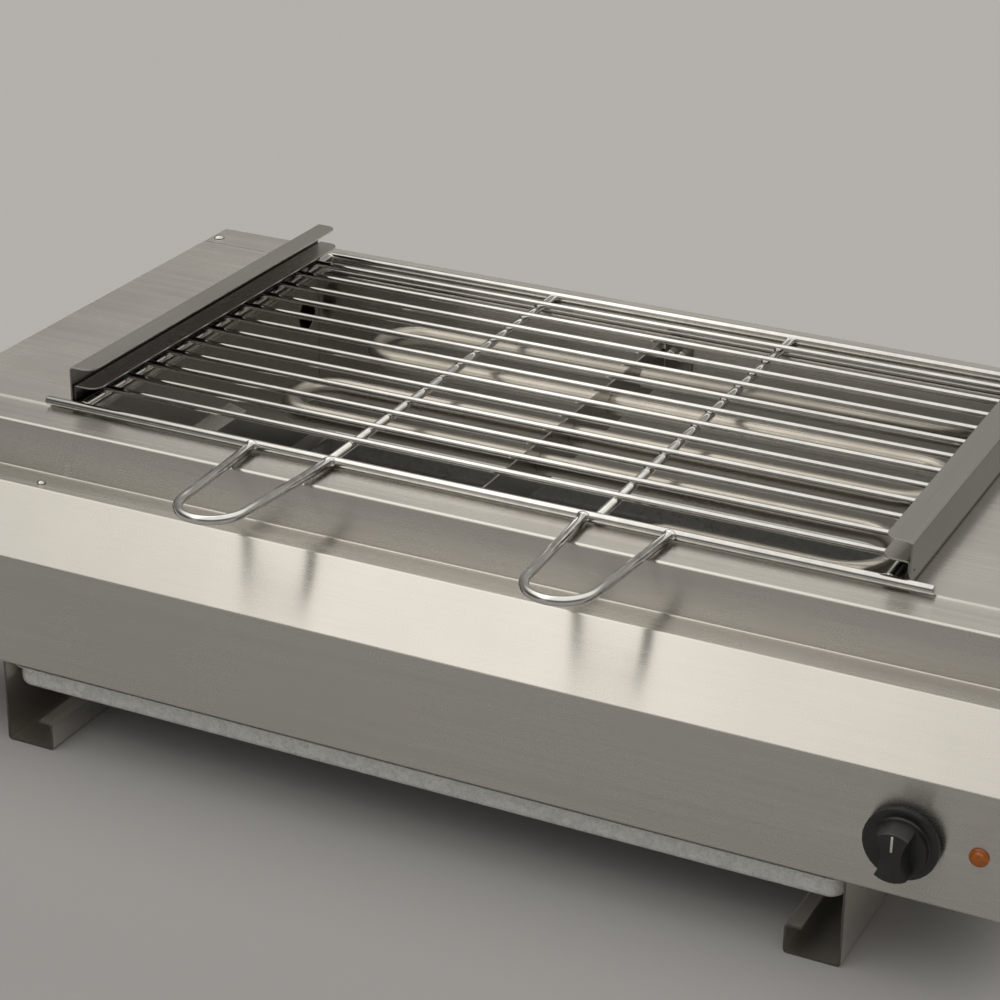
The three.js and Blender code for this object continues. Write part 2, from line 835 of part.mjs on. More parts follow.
// Dome rivets
function rivet(length) {
  const head = rivetHead / 2;
  return turned([
    [0, -length], [rivetShank / 2, -length], [rivetShank / 2, 0], [head, 0], [head, rivetRise / 4],
    [head * Math.SQRT1_2, rivetRise * rivetShoulderShare], [head / 3, rivetRise],
    [0, rivetRise + gap / 3],
  ], 16);
}
const rivetLift = stripTop + gap;
const ledgeLift = ledgeHeight + gap;
add('left_ledge_rivet', rivet(rivetLength).translate(-ledgeRivetX, ledgeRivetY, ledgeLift), chrome);
add('right_ledge_rivet', rivet(rivetLength).translate(ledgeRivetX, ledgeRivetY, ledgeLift), chrome);
add('left_rear_rivet', rivet(rivetLength).translate(-rearRivetX, rearRivetY, rivetLift), chrome);
add('right_rear_rivet', rivet(rivetLength).translate(rearRivetX, rearRivetY, rivetLift), chrome);
add('tab_rivet', facing(
  rivet(rivetLength), tabRivetX, supportFront + sheet + gap, tabRivetZ, -1), chrome);

// Foot channels: a tall wall up to the well, a flat sole and a low lipped wall
function footChannel() {
  const wallX = footHalf;
  const soleX = footHalf - footWidth;
  const path = [
    [soleX + footLip, footWallHeight],
    [soleX, footWallHeight],
    [soleX, 0],
    [wallX, 0],
    [wallX, footShoulder],
    [wellHalf + gap + footSheet, footShoulder],
    [wellHalf + gap + footSheet, footShoulder + footTab],
  ];
  return alongY(foldedSheet(path, footSheet, bendRadius, 1), footSetback, bodyDepth - footSetback);
}
add('left_foot_channel', mirrored(footChannel()), steel);
add('right_foot_channel', footChannel(), steel);

// Angle runners on the foot walls carry the tray
const trayHalf = footHalf - trayClearance;
const runnerTop = trayBottom - gap;

function trayRunner() {
  const wallX = footHalf - footSheet - gap;
  const path = [
    [wallX, runnerTop - runnerDrop],
    [wallX, runnerTop],
    [wallX - runnerReach, runnerTop],
  ];
  return alongY(foldedSheet(path, runnerSheet, bendRadius, 1), trayFront + trayRoll, trayBack);
}
add('left_tray_runner', mirrored(trayRunner()), metal(zincColour, 0.4));
add('right_tray_runner', trayRunner(), metal(zincColour, 0.4));

// Drip tray: a pan with a rolled foot, round corners and a rim folded outwards
function panRing(inset, height) {
  const width = 2 * (trayHalf - inset);
  const depth = trayBack - trayFront - 2 * inset;
  const radius = Math.max(trayCorner - inset, gap);
  const points = rectangle(width, depth, radius).getPoints(cornerSteps);
  const ring = points.slice(0, -1);
  return ring.map((point) => new THREE.Vector3(point.x, point.y + (trayFront + trayBack) / 2, height));
}

function rolledFoot(edge, base, radius) {
  const rings = [];
  for (let step = 0; step <= rollSteps; step += 1) {
    const angle = (step * Math.PI) / (2 * rollSteps);
    const inset = edge + radius - radius * Math.sin(angle);
    rings.push(panRing(inset, base + radius - radius * Math.cos(angle)));
  }
  return rings;
}

function dripTray() {
  const rimTop = trayBottom + trayDepth;
  const wall = trayRim;
  const inner = wall + traySheet;
  const outerArc = rolledFoot(wall, trayBottom, trayRoll);
  const innerArc = rolledFoot(inner, trayBottom + traySheet, trayRoll - traySheet).reverse();
  return loft([
    ...outerArc,
    panRing(wall, rimTop - traySheet),
    panRing(0, rimTop - traySheet),
    panRing(0, rimTop),
    panRing(inner, rimTop),
    ...innerArc,
  ]);
}
add('drip_tray', dripTray(), metal(zincColour, 0.45));

// Side rails with round front corners
function railPlan(x0, x1, front) {
  const corner = railCorner;
  const shape = new THREE.Shape();
  shape.moveTo(x1, front);
  shape.lineTo(x1, railBack);
  shape.lineTo(x0 + corner, railBack);
  shape.absarc(x0 + corner, railBack - corner, corner, Math.PI / 2, Math.PI);
  shape.lineTo(x0, front + corner);
  shape.absarc(x0 + corner, front + corner, corner, Math.PI, 1.5 * Math.PI);
  shape.closePath();
  return shape;
}

const railOuterX = wellRight + railStandOff;
const railInnerX = railOuterX - railSheet - gap;

function railPiece(x, rise, flange, front) {
  const top = bodyTop + rise;
  const path = [
    [x, gridBase],
    [x, top],
    [x - flange, top],
  ];
  const bar = alongY(foldedSheet(path, railSheet, railBend, 1), front - overrun, railBack + overrun);
  return intersect(bar, alongZ(railPlan(x - flange, x, front), bodyTop, top + overrun));
}

function outerRail() {
  const y = railFront + railHoleInset;
  const hole = rodX(
    railHole / 2, railOuterX - railSheet - gap / 2, railOuterX + overrun, y, bodyTop + railHoleHeight, 12);
  return cut(railPiece(railOuterX, railRise, railFlange, railFront), hole);
}

function innerRail() {
  return railPiece(railInnerX, midRise, midFlange, railFront + midSetback);
}
add('left_rail', mirrored(outerRail()), steel);
add('right_rail', outerRail(), steel);
add('left_rail_inner', mirrored(innerRail()), steel);
add('right_rail_inner', innerRail(), steel);

// Wire grid: level rods sunk a little into the bars under them, as spot welds do
const endRodRadius = endRodDiameter / 2;
const wireRadius = wireDiameter / 2;
const barFront = frontRodY + endRodRadius + gap;
const barBack = backRodY - endRodRadius - gap;

function endRod(overhang, y) {
  const half = wellRight + overhang;
  const chamfer = sheet / 2;
  const rod = turned([
    [0, -half], [endRodRadius - chamfer, -half], [endRodRadius, chamfer - half],
    [endRodRadius, half - chamfer], [endRodRadius - chamfer, half], [0, half],
  ], 16);
  return rod.rotateY(Math.PI / 2).translate(gridShift, y, endRodHeight);
}

function wireGrid() {
  const first = wellFront + firstRodInset;
  const pitch = (wellBack - lastRodInset - first) / (gridRodCount - 1);
  const half = wellRight + gridRodOverhang;
  const sideBar = wellRight - sideBarInset;
  const wires = [sideBarShift - sideBar, -crossBarHalf, crossBarHalf, sideBarShift + sideBar].map(
    (x) => rodY(wireRadius, barFront, barBack, gridShift + x, barHeight, 12));
  for (let i = 0; i < gridRodCount; i += 1) {
    wires.push(rodX(wireRadius, gridShift - half, gridShift + half, first + i * pitch, gridRodHeight, 12));
  }
  return join(...wires);
}
add('grid_front_rod', endRod(frontRodOverhang, frontRodY), chrome);
add('grid_back_rod', endRod(backRodOverhang, backRodY), chrome);
add('wire_grid', wireGrid(), chrome);

// Handles: tapered wire loops with a round end past the front face
function gridHandle(side) {
  const x = gridShift + handleShift + (side * handleSpan) / 2;
  const root = frontRodY - endRodRadius - gap;
  const tip = wireRadius - handleReach;
  const neck = tip + handleTipDepth;
  const round = levelArc(
    x, neck, handleNeckHalf, handleTipDepth, halfTurn, 2 * halfTurn, endRodHeight, 16);
  const stations = [
    new THREE.Vector3(x - handleRootHalf, root, endRodHeight),
    ...round,
    new THREE.Vector3(x + handleRootHalf, root, endRodHeight),
  ];
  return wireAlong(stations, wireRadius, 12);
}
add('grid_left_handle', gridHandle(-1), chrome);
add('grid_right_handle', gridHandle(1), chrome);

// Gland nuts, ceramic bushes and terminal pins at both ends of the tube
function glandNut() {
  const body = alongZ(hexagon(glandFlats), 0, glandThickness);
  return cut(body, rodZ(tubeRadius + gap, -overrun, glandThickness + overrun, 0, 0, 20));
}

function addAtEnds(name, geometry, along, material) {
  const rear = geometry.clone().translate(0, 0, along).rotateY(Math.PI / 2);
  const front = geometry.clone().translate(0, 0, along).rotateX(Math.PI / 2);
  add(`rear_${name}`, rear.translate(wellHalf, legYs[0], tubeHeight), material);
  add(`front_${name}`, front.translate(returnEndX, wellFront - sheet, tubeHeight), material);
}

function ceramicBush() {
  const outer = bushDiameter / 2;
  const bore = pinDiameter / 2 + gap;
  return turned([
    [bore, 0], [outer, 0], [outer, bushLength / 2], [outer * bushTipShare, bushLength],
    [bore, bushLength], [bore, 0],
  ], 20);
}
const bushStart = coldEndLength + gap;
const brass = metal(0xc8a860, 0.35);
addAtEnds('gland_nut', glandNut(), gap, brass);
addAtEnds('ceramic_bush', ceramicBush(), bushStart, plastic(0xe9e4d8, 0.6));
addAtEnds('terminal_pin', rodZ(pinDiameter / 2, 0, pinLength, 0, 0, 12), bushStart, boltSteel);

// Control knob: a skirt and a barrel cut to a finger bar, with a socket behind
const faceOut = -knobStandOff;

function controlKnob() {
  const skirt = knobDiameter / 2;
  const barrel = knobBarrel / 2;
  const edge = sheet;
  const body = turned([
    [0, 0], [skirt - edge, 0], [skirt, edge], [skirt, knobSkirt - edge], [skirt - 2 * edge, knobSkirt],
    [barrel + edge, knobSkirt], [barrel, knobSkirt + edge], [barrel - edge, knobDepth - 2 * edge],
    [barrel - 2 * edge, knobDepth - edge / 2], [barrel - 4 * edge, knobDepth], [0, knobDepth],
  ], 30);
  const floor = knobDepth - knobGripDepth;
  const scoopX = knobGrip / 2 + knobScoopRadius;
  const scoop = (side) => rodZ(knobScoopRadius, floor, knobDepth + overrun, side * scoopX, 0, 40);
  const socket = rodZ(spindleDiameter / 2 + gap, -overrun, knobSocketDepth, 0, 0, 16);
  const shaped = cut(body, scoop(1), scoop(-1), socket);
  return facing(shaped, controlX, faceOut, controlHeight, 1);
}
add('control_knob', controlKnob(), plastic(0x17181a, 0.4));

// Spindle, from the knob's socket into the regulator's collar
const regulatorFront = sheet + gap;
const spindleInner = regulatorFront + spindleDepth;
add('knob_spindle', rodY(
  spindleDiameter / 2, faceOut - knobSocketDepth + gap, spindleInner, controlX, controlHeight, 16,
), metal(chromeColour, 0.3));

// Energy regulator behind the face, held by a nut on its collar
const tagXs = [controlX - regulatorWidth / 4, controlX + regulatorWidth / 4];
const tagEnd = regulatorFront + regulatorDepth + tagLength;

function tag(x) {
  const z = controlHeight;
  const half = tagThickness / 2;
  return boxBetween(
    x - tagWidth / 2, x + tagWidth / 2, tagEnd - tagLength - gap, tagEnd, z - half, z + half);
}

function regulatorBody() {
  const block = alongZ(rectangle(regulatorWidth, regulatorHeight, regulatorCorner), 0, regulatorDepth);
  const body = facing(block, controlX, regulatorFront + regulatorDepth, controlHeight, 1);
  const collarEnd = -collarNutThickness - gap;
  const collar = rodY(collarDiameter / 2, collarEnd, regulatorFront + gap, controlX, controlHeight, 24);
  const bore = rodY(
    spindleDiameter / 2 + gap, collarEnd - overrun, spindleInner + gap, controlX, controlHeight, 16);
  return cut(join(body, collar, ...tagXs.map(tag)), bore);
}
add('heat_regulator', regulatorBody(), plastic(0x2b2a28, 0.55));

function collarNut() {
  const body = alongZ(hexagon(collarFlats), 0, collarNutThickness);
  const bored = cut(body, rodZ(collarDiameter / 2 + gap, -overrun, collarNutThickness + overrun, 0, 0, 24));
  return facing(bored, controlX, -gap, controlHeight, 1);
}
add('regulator_nut', collarNut(), chrome);

// Pilot lamp: lens with a rim in front of the face, body and clip behind it
const lampX = bodyRight - lampInset;

function pilotLens() {
  const stem = lampDiameter / 2;
  const rim = lampRim / 2;
  const lens = turned([
    [0, -sheet], [stem, -sheet], [stem, 0], [rim, 0], [rim, lampRimHeight / 2], [rim - sheet, lampRimHeight],
    [stem, lampRimHeight], [stem * lensShoulderShare, lampRimHeight + lampDome * lensRiseShare],
    [0, lampRimHeight + lampDome],
  ], 24);
  return facing(lens, lampX, -gap, controlHeight, 1);
}
add('pilot_lamp_lens', pilotLens(), plastic(0xd86a1c, 0.2));

const lampBodyStart = sheet + gap;
add('pilot_lamp_body', rodY(
  lampDiameter / 2, lampBodyStart, lampBodyStart + lampBodyLength, lampX, controlHeight, 20,
), plastic(0x222222, 0.5));

function lampClip() {
  const ring = turned([
    [lampDiameter / 2 + gap, 0], [clipOuter / 2, 0], [clipOuter / 2, clipThickness],
    [lampDiameter / 2 + gap, clipThickness], [lampDiameter / 2 + gap, 0],
  ], 20);
  return facing(ring, lampX, lampBodyStart + gap, controlHeight, -1);
}
add('pilot_lamp_clip', lampClip(), metal(chromeColour, 0.3));

// Terminal block on the base sheet
const blockY = bodyDepth - blockSetback;
const blockBase = baseTop + sheet + gap;
const blockPitch = blockLength / blockWays;
const wayHeight = blockBase + blockHeight / 3;

function wayX(way) {
  return controlX + (way - (blockWays - 1) / 2) * blockPitch;
}

function terminalBlock() {
  const half = blockLength / 2;
  const depth = blockWidth / 2;
  const top = blockBase + blockHeight;
  const body = boxBetween(controlX - half, controlX + half, blockY - depth, blockY + depth, blockBase, top);
  const tools = [];
  for (let way = 0; way < blockWays; way += 1) {
    const x = wayX(way);
    const reach = depth + overrun;
    tools.push(rodY(wireThickness / 2 + gap, blockY - reach, blockY + reach, x, wayHeight, 12));
    tools.push(rodZ(blockScrew / 2, top - blockScrewDepth, top + overrun, x, blockY - depth / 2, 12));
    tools.push(rodZ(blockScrew / 2, top - blockScrewDepth, top + overrun, x, blockY + depth / 2, 12));
  }
  return cut(body, ...tools);
}
add('terminal_block', terminalBlock(), plastic(0xe6e3da, 0.55));

// Cable inlet in the rear panel: threaded body, lock nut inside and cap nut outside
function inletBody() {
  const bore = inletBore / 2;
  const thread = inletThread / 2;
  const flange = alongZ(hexagon(inletFlats), 0, inletFlangeLength);
  const capThread = thread - inletThread / 8;
  const start = -sheet - gap - inletInnerLength;
  const end = inletFlangeLength + inletCapLength / 2;
  const stem = turned([
    [0, start], [thread, start], [thread, sheet], [capThread, sheet], [capThread, end], [0, end],
  ], 24);
  const body = cut(join(flange, stem), rodZ(bore, start - overrun, end + overrun, 0, 0, 20));
  return facing(body, inletX, bodyDepth + gap, inletHeight, -1);
}

function inletCap() {
  const thread = inletThread / 2 - inletThread / 8 + gap;
  const outer = inletFlats / 2;
  const bore = inletBore / 2;
  const dome = turned([
    [thread, 0], [outer, 0], [outer, inletCapLength * capSideShare],
    [outer * capShoulderWidthShare, inletCapLength * capShoulderShare],
    [outer * capMouthShare, inletCapLength - gap], [bore, inletCapLength - gap],
    [bore, inletCapLength / 2 + 2 * gap], [thread, inletCapLength / 2 + 2 * gap], [thread, 0],
  ], 24);
  return facing(dome, inletX, bodyDepth + inletFlangeLength + 2 * gap, inletHeight, -1);
}

function inletLockNut() {
  const nut = alongZ(hexagon(inletFlats), -lockNutThickness, 0);
  const bored = cut(nut, rodZ(inletThread / 2 + gap, -lockNutThickness - overrun, overrun, 0, 0, 24));
  return facing(bored, inletX, bodyDepth - sheet - gap, inletHeight, -1);
}
const inletPlastic = plastic(0x1d1d1f, 0.5);
add('cable_inlet', inletBody(), inletPlastic);
add('cable_inlet_cap', inletCap(), inletPlastic);
add('cable_inlet_lock_nut', inletLockNut(), inletPlastic);

// Earth stud through the base sheet, with its nut
const studY = bodyDepth - studSetback;
const studRadius = studDiameter / 2;

function earthStud() {
  const head = studDiameter * studHeadShare;
  const under = -gap;
  return turned([
    [0, under - sheet], [head, under - sheet], [head, under], [studRadius, under],
    [studRadius, studHeight], [0, studHeight],
  ], 16).translate(controlX, studY, baseTop);
}

function earthNut() {
  const body = alongZ(hexagon(studDiameter * studFlatsShare), 0, studNutHeight);
  const bored = cut(body, rodZ(studRadius + gap, -overrun, studNutHeight + overrun, 0, 0, 16));
  return bored.translate(controlX, studY, baseTop + sheet + gap);
}
add('earth_stud', earthStud(), brass);
add('earth_nut', earthNut(), brass);

// Heat-proof wires between block, regulator and element
const wireRadiusInside = wireThickness / 2;
const blockMouth = blockY - blockWidth / 2 + wireThickness;

function wireThrough(points) {
  const curve = new THREE.CatmullRomCurve3(points.map((point) => new THREE.Vector3(...point)));
  return new THREE.ExtrudeGeometry(circle(wireRadiusInside, 6), {
    steps: wireSteps, bevelEnabled: false, extrudePath: curve,
  });
}

const tagMouth = tagEnd + gap;
const wireRun = 20;
const pinEndX = wellHalf + bushStart + pinLength + gap;
const pinSideX = returnEndX + pinDiameter / 2 + gap;
const pinSideY = wellFront - sheet - bushStart - pinLength + wireThickness;
const wireLoft = tubeHeight - glandFlats;
const wireSpread = blockPitch / 2;

add('wire_supply_live', wireThrough([
  [wayX(0), blockMouth, wayHeight],
  [wayX(0), blockMouth - wireRun, wayHeight],
  [tagXs[0] - wireSpread, tagMouth + blockSetback, controlHeight],
  [tagXs[0], tagMouth + wireRun, controlHeight],
  [tagXs[0], tagMouth, controlHeight],
]), plastic(0x6b3f22, 0.5));

add('wire_regulator_to_element', wireThrough([
  [tagXs[1], tagMouth, controlHeight],
  [tagXs[1], tagMouth + wireRun, controlHeight],
  [controlX + regulatorWidth / 2, (tagMouth + legYs[0]) / 2, wireLoft],
  [pinEndX + 2 * wireRun, legYs[0], tubeHeight],
  [pinEndX + wireRun, legYs[0], tubeHeight],
  [pinEndX, legYs[0], tubeHeight],
]), plastic(0x9c2f22, 0.5));

add('wire_neutral', wireThrough([
  [wayX(1), blockMouth, wayHeight],
  [wayX(1), blockMouth - wireRun, wayHeight],
  [wellHalf + 1.5 * wireRun, wellBack / 2, wireLoft],
  [wellHalf + 1.5 * wireRun, wellFront + wireRun, tubeHeight],
  [wellHalf, pinSideY, tubeHeight],
  [pinSideX + 3 * wireRun, pinSideY, tubeHeight],
  [pinSideX, pinSideY, tubeHeight],
]), plastic(0x2a4f8f, 0.5));

add('wire_earth', wireThrough([
  [wayX(2), blockMouth, wayHeight],
  [wayX(2), blockMouth - wireRun / 2, wayHeight],
  [controlX + studDiameter + wireRun / 4, studY + wireRun / 4, baseTop + studHeight],
  [controlX + studRadius + wireRadiusInside + gap, studY, baseTop + studHeight - wireRadiusInside],
]), plastic(0x5f8f35, 0.5));

export default grill;
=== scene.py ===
import math
from collections import namedtuple

import bmesh
import bpy
from mathutils import Matrix, Vector, noise


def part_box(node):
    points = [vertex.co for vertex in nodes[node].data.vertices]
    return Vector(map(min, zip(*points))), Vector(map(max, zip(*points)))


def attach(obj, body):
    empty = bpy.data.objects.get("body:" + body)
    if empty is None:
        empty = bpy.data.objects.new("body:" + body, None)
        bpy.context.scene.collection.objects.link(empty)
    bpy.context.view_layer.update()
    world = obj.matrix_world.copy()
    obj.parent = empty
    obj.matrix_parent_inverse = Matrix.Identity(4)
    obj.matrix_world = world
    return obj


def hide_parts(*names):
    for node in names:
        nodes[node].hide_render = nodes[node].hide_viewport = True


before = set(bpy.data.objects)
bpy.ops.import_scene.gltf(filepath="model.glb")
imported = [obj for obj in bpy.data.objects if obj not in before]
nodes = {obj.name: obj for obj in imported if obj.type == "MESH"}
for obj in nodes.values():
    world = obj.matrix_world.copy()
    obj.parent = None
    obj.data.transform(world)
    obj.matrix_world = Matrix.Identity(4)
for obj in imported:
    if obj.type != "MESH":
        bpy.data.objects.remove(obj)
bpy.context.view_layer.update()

X = (1, 0, 0)
Y = (0, 1, 0)

# Wires of the grid: radii
ROD_RADIUS = 0.0025
END_ROD_RADIUS = 0.0035
BAR_RADIUS = 0.0031
BAR_SPREAD = 1.2
HANDLE_RADIUS = 0.0035
END_ROUND = 0.35

# Rods and bars of the grid, measured from its box
ROD_COUNT = 12
FIRST_ROD = 0.0282
LAST_ROD = 0.0272
LEFT_BAR = 0.0055
RIGHT_BAR = 0.0099
CROSS_BAR = 0.1025
FRONT_ROD_LEFT_REACH = 0.0035
FRONT_ROD_RIGHT_REACH = 0.0023

# Handles: half widths and depth of the loop, and the shift of its root and tip to the right
HANDLE_ROOT_HALF = 0.0313
HANDLE_NECK_HALF = 0.0248
HANDLE_TIP_DEPTH = 0.027
HANDLE_TIP_SETBACK = 0.0015
HANDLE_SINK = 0.002
HANDLE_SHIFTS = {"left": (0.0035, 0.0012), "right": (0.0027, 0.0010)}

# Weld beads: half sizes and how far they stand out
ROD_WELD = (0.0034, 0.0031, 0.0012)
ROD_WELD_HEIGHT = 0.8
BAR_END_WELD = (0.0042, 0.0022, 0.0030)
BAR_END_WELD_REACH = 0.0004
HANDLE_WELD = (0.0052, 0.0028, 0.0038)
HANDLE_WELD_INSET = 0.0002
HANDLE_WELD_RISE = 0.0006
WELD_SEGMENTS = 12
WELD_RINGS = 8
WELD_SWELL = 0.16
WELD_LUMPS = 500

# Heating tube: its legs as shares of the well's depth, its turns from the walls at the sides
TUBE_RADIUS = 0.008
LEG_SHARES = (0.1276, 0.3086, 0.5104, 0.6825, 0.8932)
LEFT_TURN_INSETS = (0.1005, 0.0955)
RIGHT_TURN_INSETS = (0.0265, 0.0255)
RETURN_LEG = 0.112
RETURN_TURN = 0.020

# Drip tray: wide enough to fill the space between the feet
TRAY_REACH = 0.0128
TRAY_RIM = 0.004
TRAY_SHEET = 0.001
TRAY_ROLL = 0.005
TRAY_CORNER = 0.010
RUNNER_SETBACK = 0.045

# Sheets that are reshaped
FLANGE_BEND = 0.0082
FLANGE_GROWTH = 0.0015
PLATE_TOUCH = 0.00002
PLATE_EDGE_SLOPE = 0.0011
SEAM = 0.0011
SEAM_SLOPE = 0.0002
STRIP_BEND = 0.006
STRIP_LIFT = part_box("top_plate")[1].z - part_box("rear_panel")[1].z
RIVET_HOLE = 0.0024
REAR_RIVET_GROWTH = 1.45

# Edges: a cut sheet, an eased sheet, a small part
CUT = 0.0001
EASY = 0.00022
SMALL = 0.0003
SHARP_ANGLE = math.radians(32)

# Copies of the CAD meshes
SAME_PLACE = 2e-6
FLAT_ANGLE = math.radians(0.6)

# Screws of the base sheets
SCREW_RADIUS = 0.0034
SCREW_HEIGHT = 0.0018
SCREW_SIDE_INSET = 0.018
SCREW_END_INSET = 0.0045

# Pointer of the knob
POINTER_SIZE = (0.0015, 0.0008, 0.0110)
POINTER_RISE = 0.0105
POINTER_SINK = 0.0001
POINTER_EDGE = 0.0002


# Shader trees
def put(tree, kind, inputs=None, **settings):
    node = tree.nodes.new("ShaderNode" + kind)
    for key, value in settings.items():
        setattr(node, key, value)
    for key, value in (inputs or {}).items():
        if isinstance(value, bpy.types.NodeSocket):
            tree.links.new(value, node.inputs[key])
        else:
            node.inputs[key].default_value = value
    return node


def ramp(tree, value, start, end, low=0.0, high=1.0, curve="LINEAR"):
    limits = {"Value": value, "From Min": start, "From Max": end, "To Min": low, "To Max": high}
    return put(tree, "MapRange", limits, interpolation_type=curve).outputs[0]


def blend(tree, share, first, second):
    return put(tree, "Mix", {0: share, 2: first, 3: second}, data_type="FLOAT").outputs[0]


def multiplied(tree, colour, mask):
    inputs = {"Factor": 1.0, 6: colour, 7: mask}
    return put(tree, "Mix", inputs, data_type="RGBA", blend_type="MULTIPLY").outputs[2]


def bump(tree, shader, height, strength, distance):
    node = put(tree, "Bump", {"Height": height, "Strength": strength, "Distance": distance})
    tree.links.new(node.outputs[0], shader.inputs["Normal"])


# Effects that several finishes share
FLOAT = "NodeSocketFloat"
VECTOR = "NodeSocketVector"


def effect(name, takes, gives):
    tree = bpy.data.node_groups.new(name, "ShaderNodeTree")
    for label, kind, value in takes:
        socket = tree.interface.new_socket(name=label, in_out="INPUT", socket_type=kind)
        if value is not None:
            socket.default_value = value
    for label in gives:
        tree.interface.new_socket(name=label, in_out="OUTPUT", socket_type=FLOAT)
    return tree, tree.nodes.new("NodeGroupInput"), tree.nodes.new("NodeGroupOutput")


def brushed_grain():
    tree, given, made = effect("brushed_grain", [("Vector", VECTOR, None)], ["Height", "Streak"])
    fine = put(tree, "TexNoise", {"Vector": given.outputs[0], "Scale": 1.0, "Detail": 3.0})
    wide = put(tree, "VectorMath", {0: given.outputs[0], 1: (0.35, 0.12, 0.12)}, operation="MULTIPLY")
    broad = put(tree, "TexNoise", {"Vector": wide.outputs[0], "Scale": 1.0, "Detail": 2.0})
    both = blend(tree, 0.42, fine.outputs[0], broad.outputs[0])
    tree.links.new(fine.outputs[0], made.inputs["Height"])
    tree.links.new(ramp(tree, both, 0.25, 0.75), made.inputs["Streak"])
    return tree


def handling_haze():
    tree, given, made = effect(
        "handling_haze", [("Vector", VECTOR, None), ("Scale", FLOAT, 6.0)], ["Haze"])
    cloud = put(
        tree, "TexNoise",
        {"Vector": given.outputs[0], "Scale": given.outputs[1], "Detail": 4.0, "Roughness": 0.6})
    tree.links.new(ramp(tree, cloud.outputs[0], 0.35, 0.7), made.inputs["Haze"])
    return tree


def zinc_spangle():
    tree, given, made = effect(
        "zinc_spangle", [("Vector", VECTOR, None), ("Scale", FLOAT, 130.0)], ["Tone"])
    warp = put(tree, "TexNoise", {"Vector": given.outputs[0], "Scale": 60.0, "Detail": 2.0})
    shift = put(tree, "VectorMath", {0: warp.outputs[1], 1: (0.008, 0.008, 0.008)}, operation="MULTIPLY")
    moved = put(tree, "VectorMath", {0: given.outputs[0], 1: shift.outputs[0]}, operation="ADD")
    cells = put(tree, "TexVoronoi", {"Vector": moved.outputs[0], "Scale": given.outputs[1]})
    grey = put(tree, "SeparateColor", {0: cells.outputs["Color"]})
    tree.links.new(grey.outputs[0], made.inputs["Tone"])
    return tree


GRAIN = brushed_grain()
HAZE = handling_haze()
SPANGLE = zinc_spangle()


# Start of a finish, its colour and its roughness
def start(name, **constants):
    material = bpy.data.materials.new(name)
    material.use_nodes = True
    tree = material.node_tree
    shader = tree.nodes["Principled BSDF"]
    for key, value in constants.items():
        shader.inputs[key.replace("_", " ")].default_value = value
    place = put(tree, "TexCoord").outputs["Object"]
    return material, tree, shader, place


def hazed(tree, place, scale):
    return put(tree, "Group", {"Vector": place, "Scale": scale}, node_tree=HAZE).outputs[0]


def coloured(tree, shader, place, mask, first, second, shades=()):
    inputs = {"Factor": mask, 6: (*first, 1.0), 7: (*second, 1.0)}
    colour = put(tree, "Mix", inputs, data_type="RGBA").outputs[2]
    parts = put(tree, "SeparateXYZ", {0: place}).outputs if shades else ()
    for axis, level, blur, depth in shades:
        dark = ramp(tree, parts[axis], level - blur, level + blur, depth)
        colour = multiplied(tree, colour, dark)
    tree.links.new(colour, shader.inputs["Base Color"])


def roughened(tree, shader, mask, rough):
    smooth, dull = rough
    tree.links.new(ramp(tree, mask, 0.0, 1.0, smooth, dull), shader.inputs["Roughness"])


# A painted shade multiplies the colour by its depth below its level; a negative blur puts it above
Shade = namedtuple("Shade", ("axis", "level", "blur", "depth"))
# Painted shadow along the foot of the rails' webs, where they meet the plate
RAIL_FOOT_PAINTED_SHADOW = Shade(axis=2, level=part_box("top_plate")[1].z + 0.0024, blur=0.0005, depth=0.12)
# Painted shade on the rails' webs below their top flange
RAIL_WEB_PAINTED_SHADE = Shade(axis=2, level=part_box("left_rail")[1].z - 0.0017, blur=0.0003, depth=0.44)
# Painted shade on the inner rails' webs below their mid flange
INNER_WEB_PAINTED_SHADE = Shade(axis=2, level=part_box("left_rail_inner")[1].z - 0.0009, blur=0.0003, depth=0.4)
# Painted shade on the front cut edge of the feet
FOOT_FRONT_PAINTED_SHADE = Shade(
    axis=1, level=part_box("left_foot_channel")[0].y + 0.0004, blur=0.0002, depth=0.22)
# Painted shade on the tray behind the well's front wall, under the tubes
TRAY_PAINTED_SHADE = Shade(
    axis=1, level=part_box("well_front_wall")[1].y + 0.055, blur=-0.020, depth=0.72)
# Painted shade on the floor towards the front
FLOOR_FRONT_PAINTED_SHADE = Shade(axis=1, level=-0.15, blur=0.3, depth=0.69)


# Brushed and polished sheet
ALONG_X = (10.0, 1500.0, 1500.0)
ALONG_Y = (1500.0, 10.0, 1500.0)


def brushed(name, stretch, dark, light, rough, aniso, shades=()):
    material, tree, shader, place = start(name, Metallic=1.0, Anisotropic=aniso)
    turned = put(tree, "Mapping", {"Vector": place, "Scale": stretch})
    grain = put(tree, "Group", {"Vector": turned.outputs[0]}, node_tree=GRAIN)
    streak = grain.outputs["Streak"]
    coloured(tree, shader, place, streak, dark, light, shades)
    roughened(tree, shader, blend(tree, 0.5, streak, hazed(tree, place, 7.0)), rough)
    bump(tree, shader, grain.outputs["Height"], strength=0.012, distance=0.0002)
    tangent = put(tree, "Tangent", direction_type="UV_MAP", uv_map="grain")
    tree.links.new(tangent.outputs[0], shader.inputs["Tangent"])
    return material


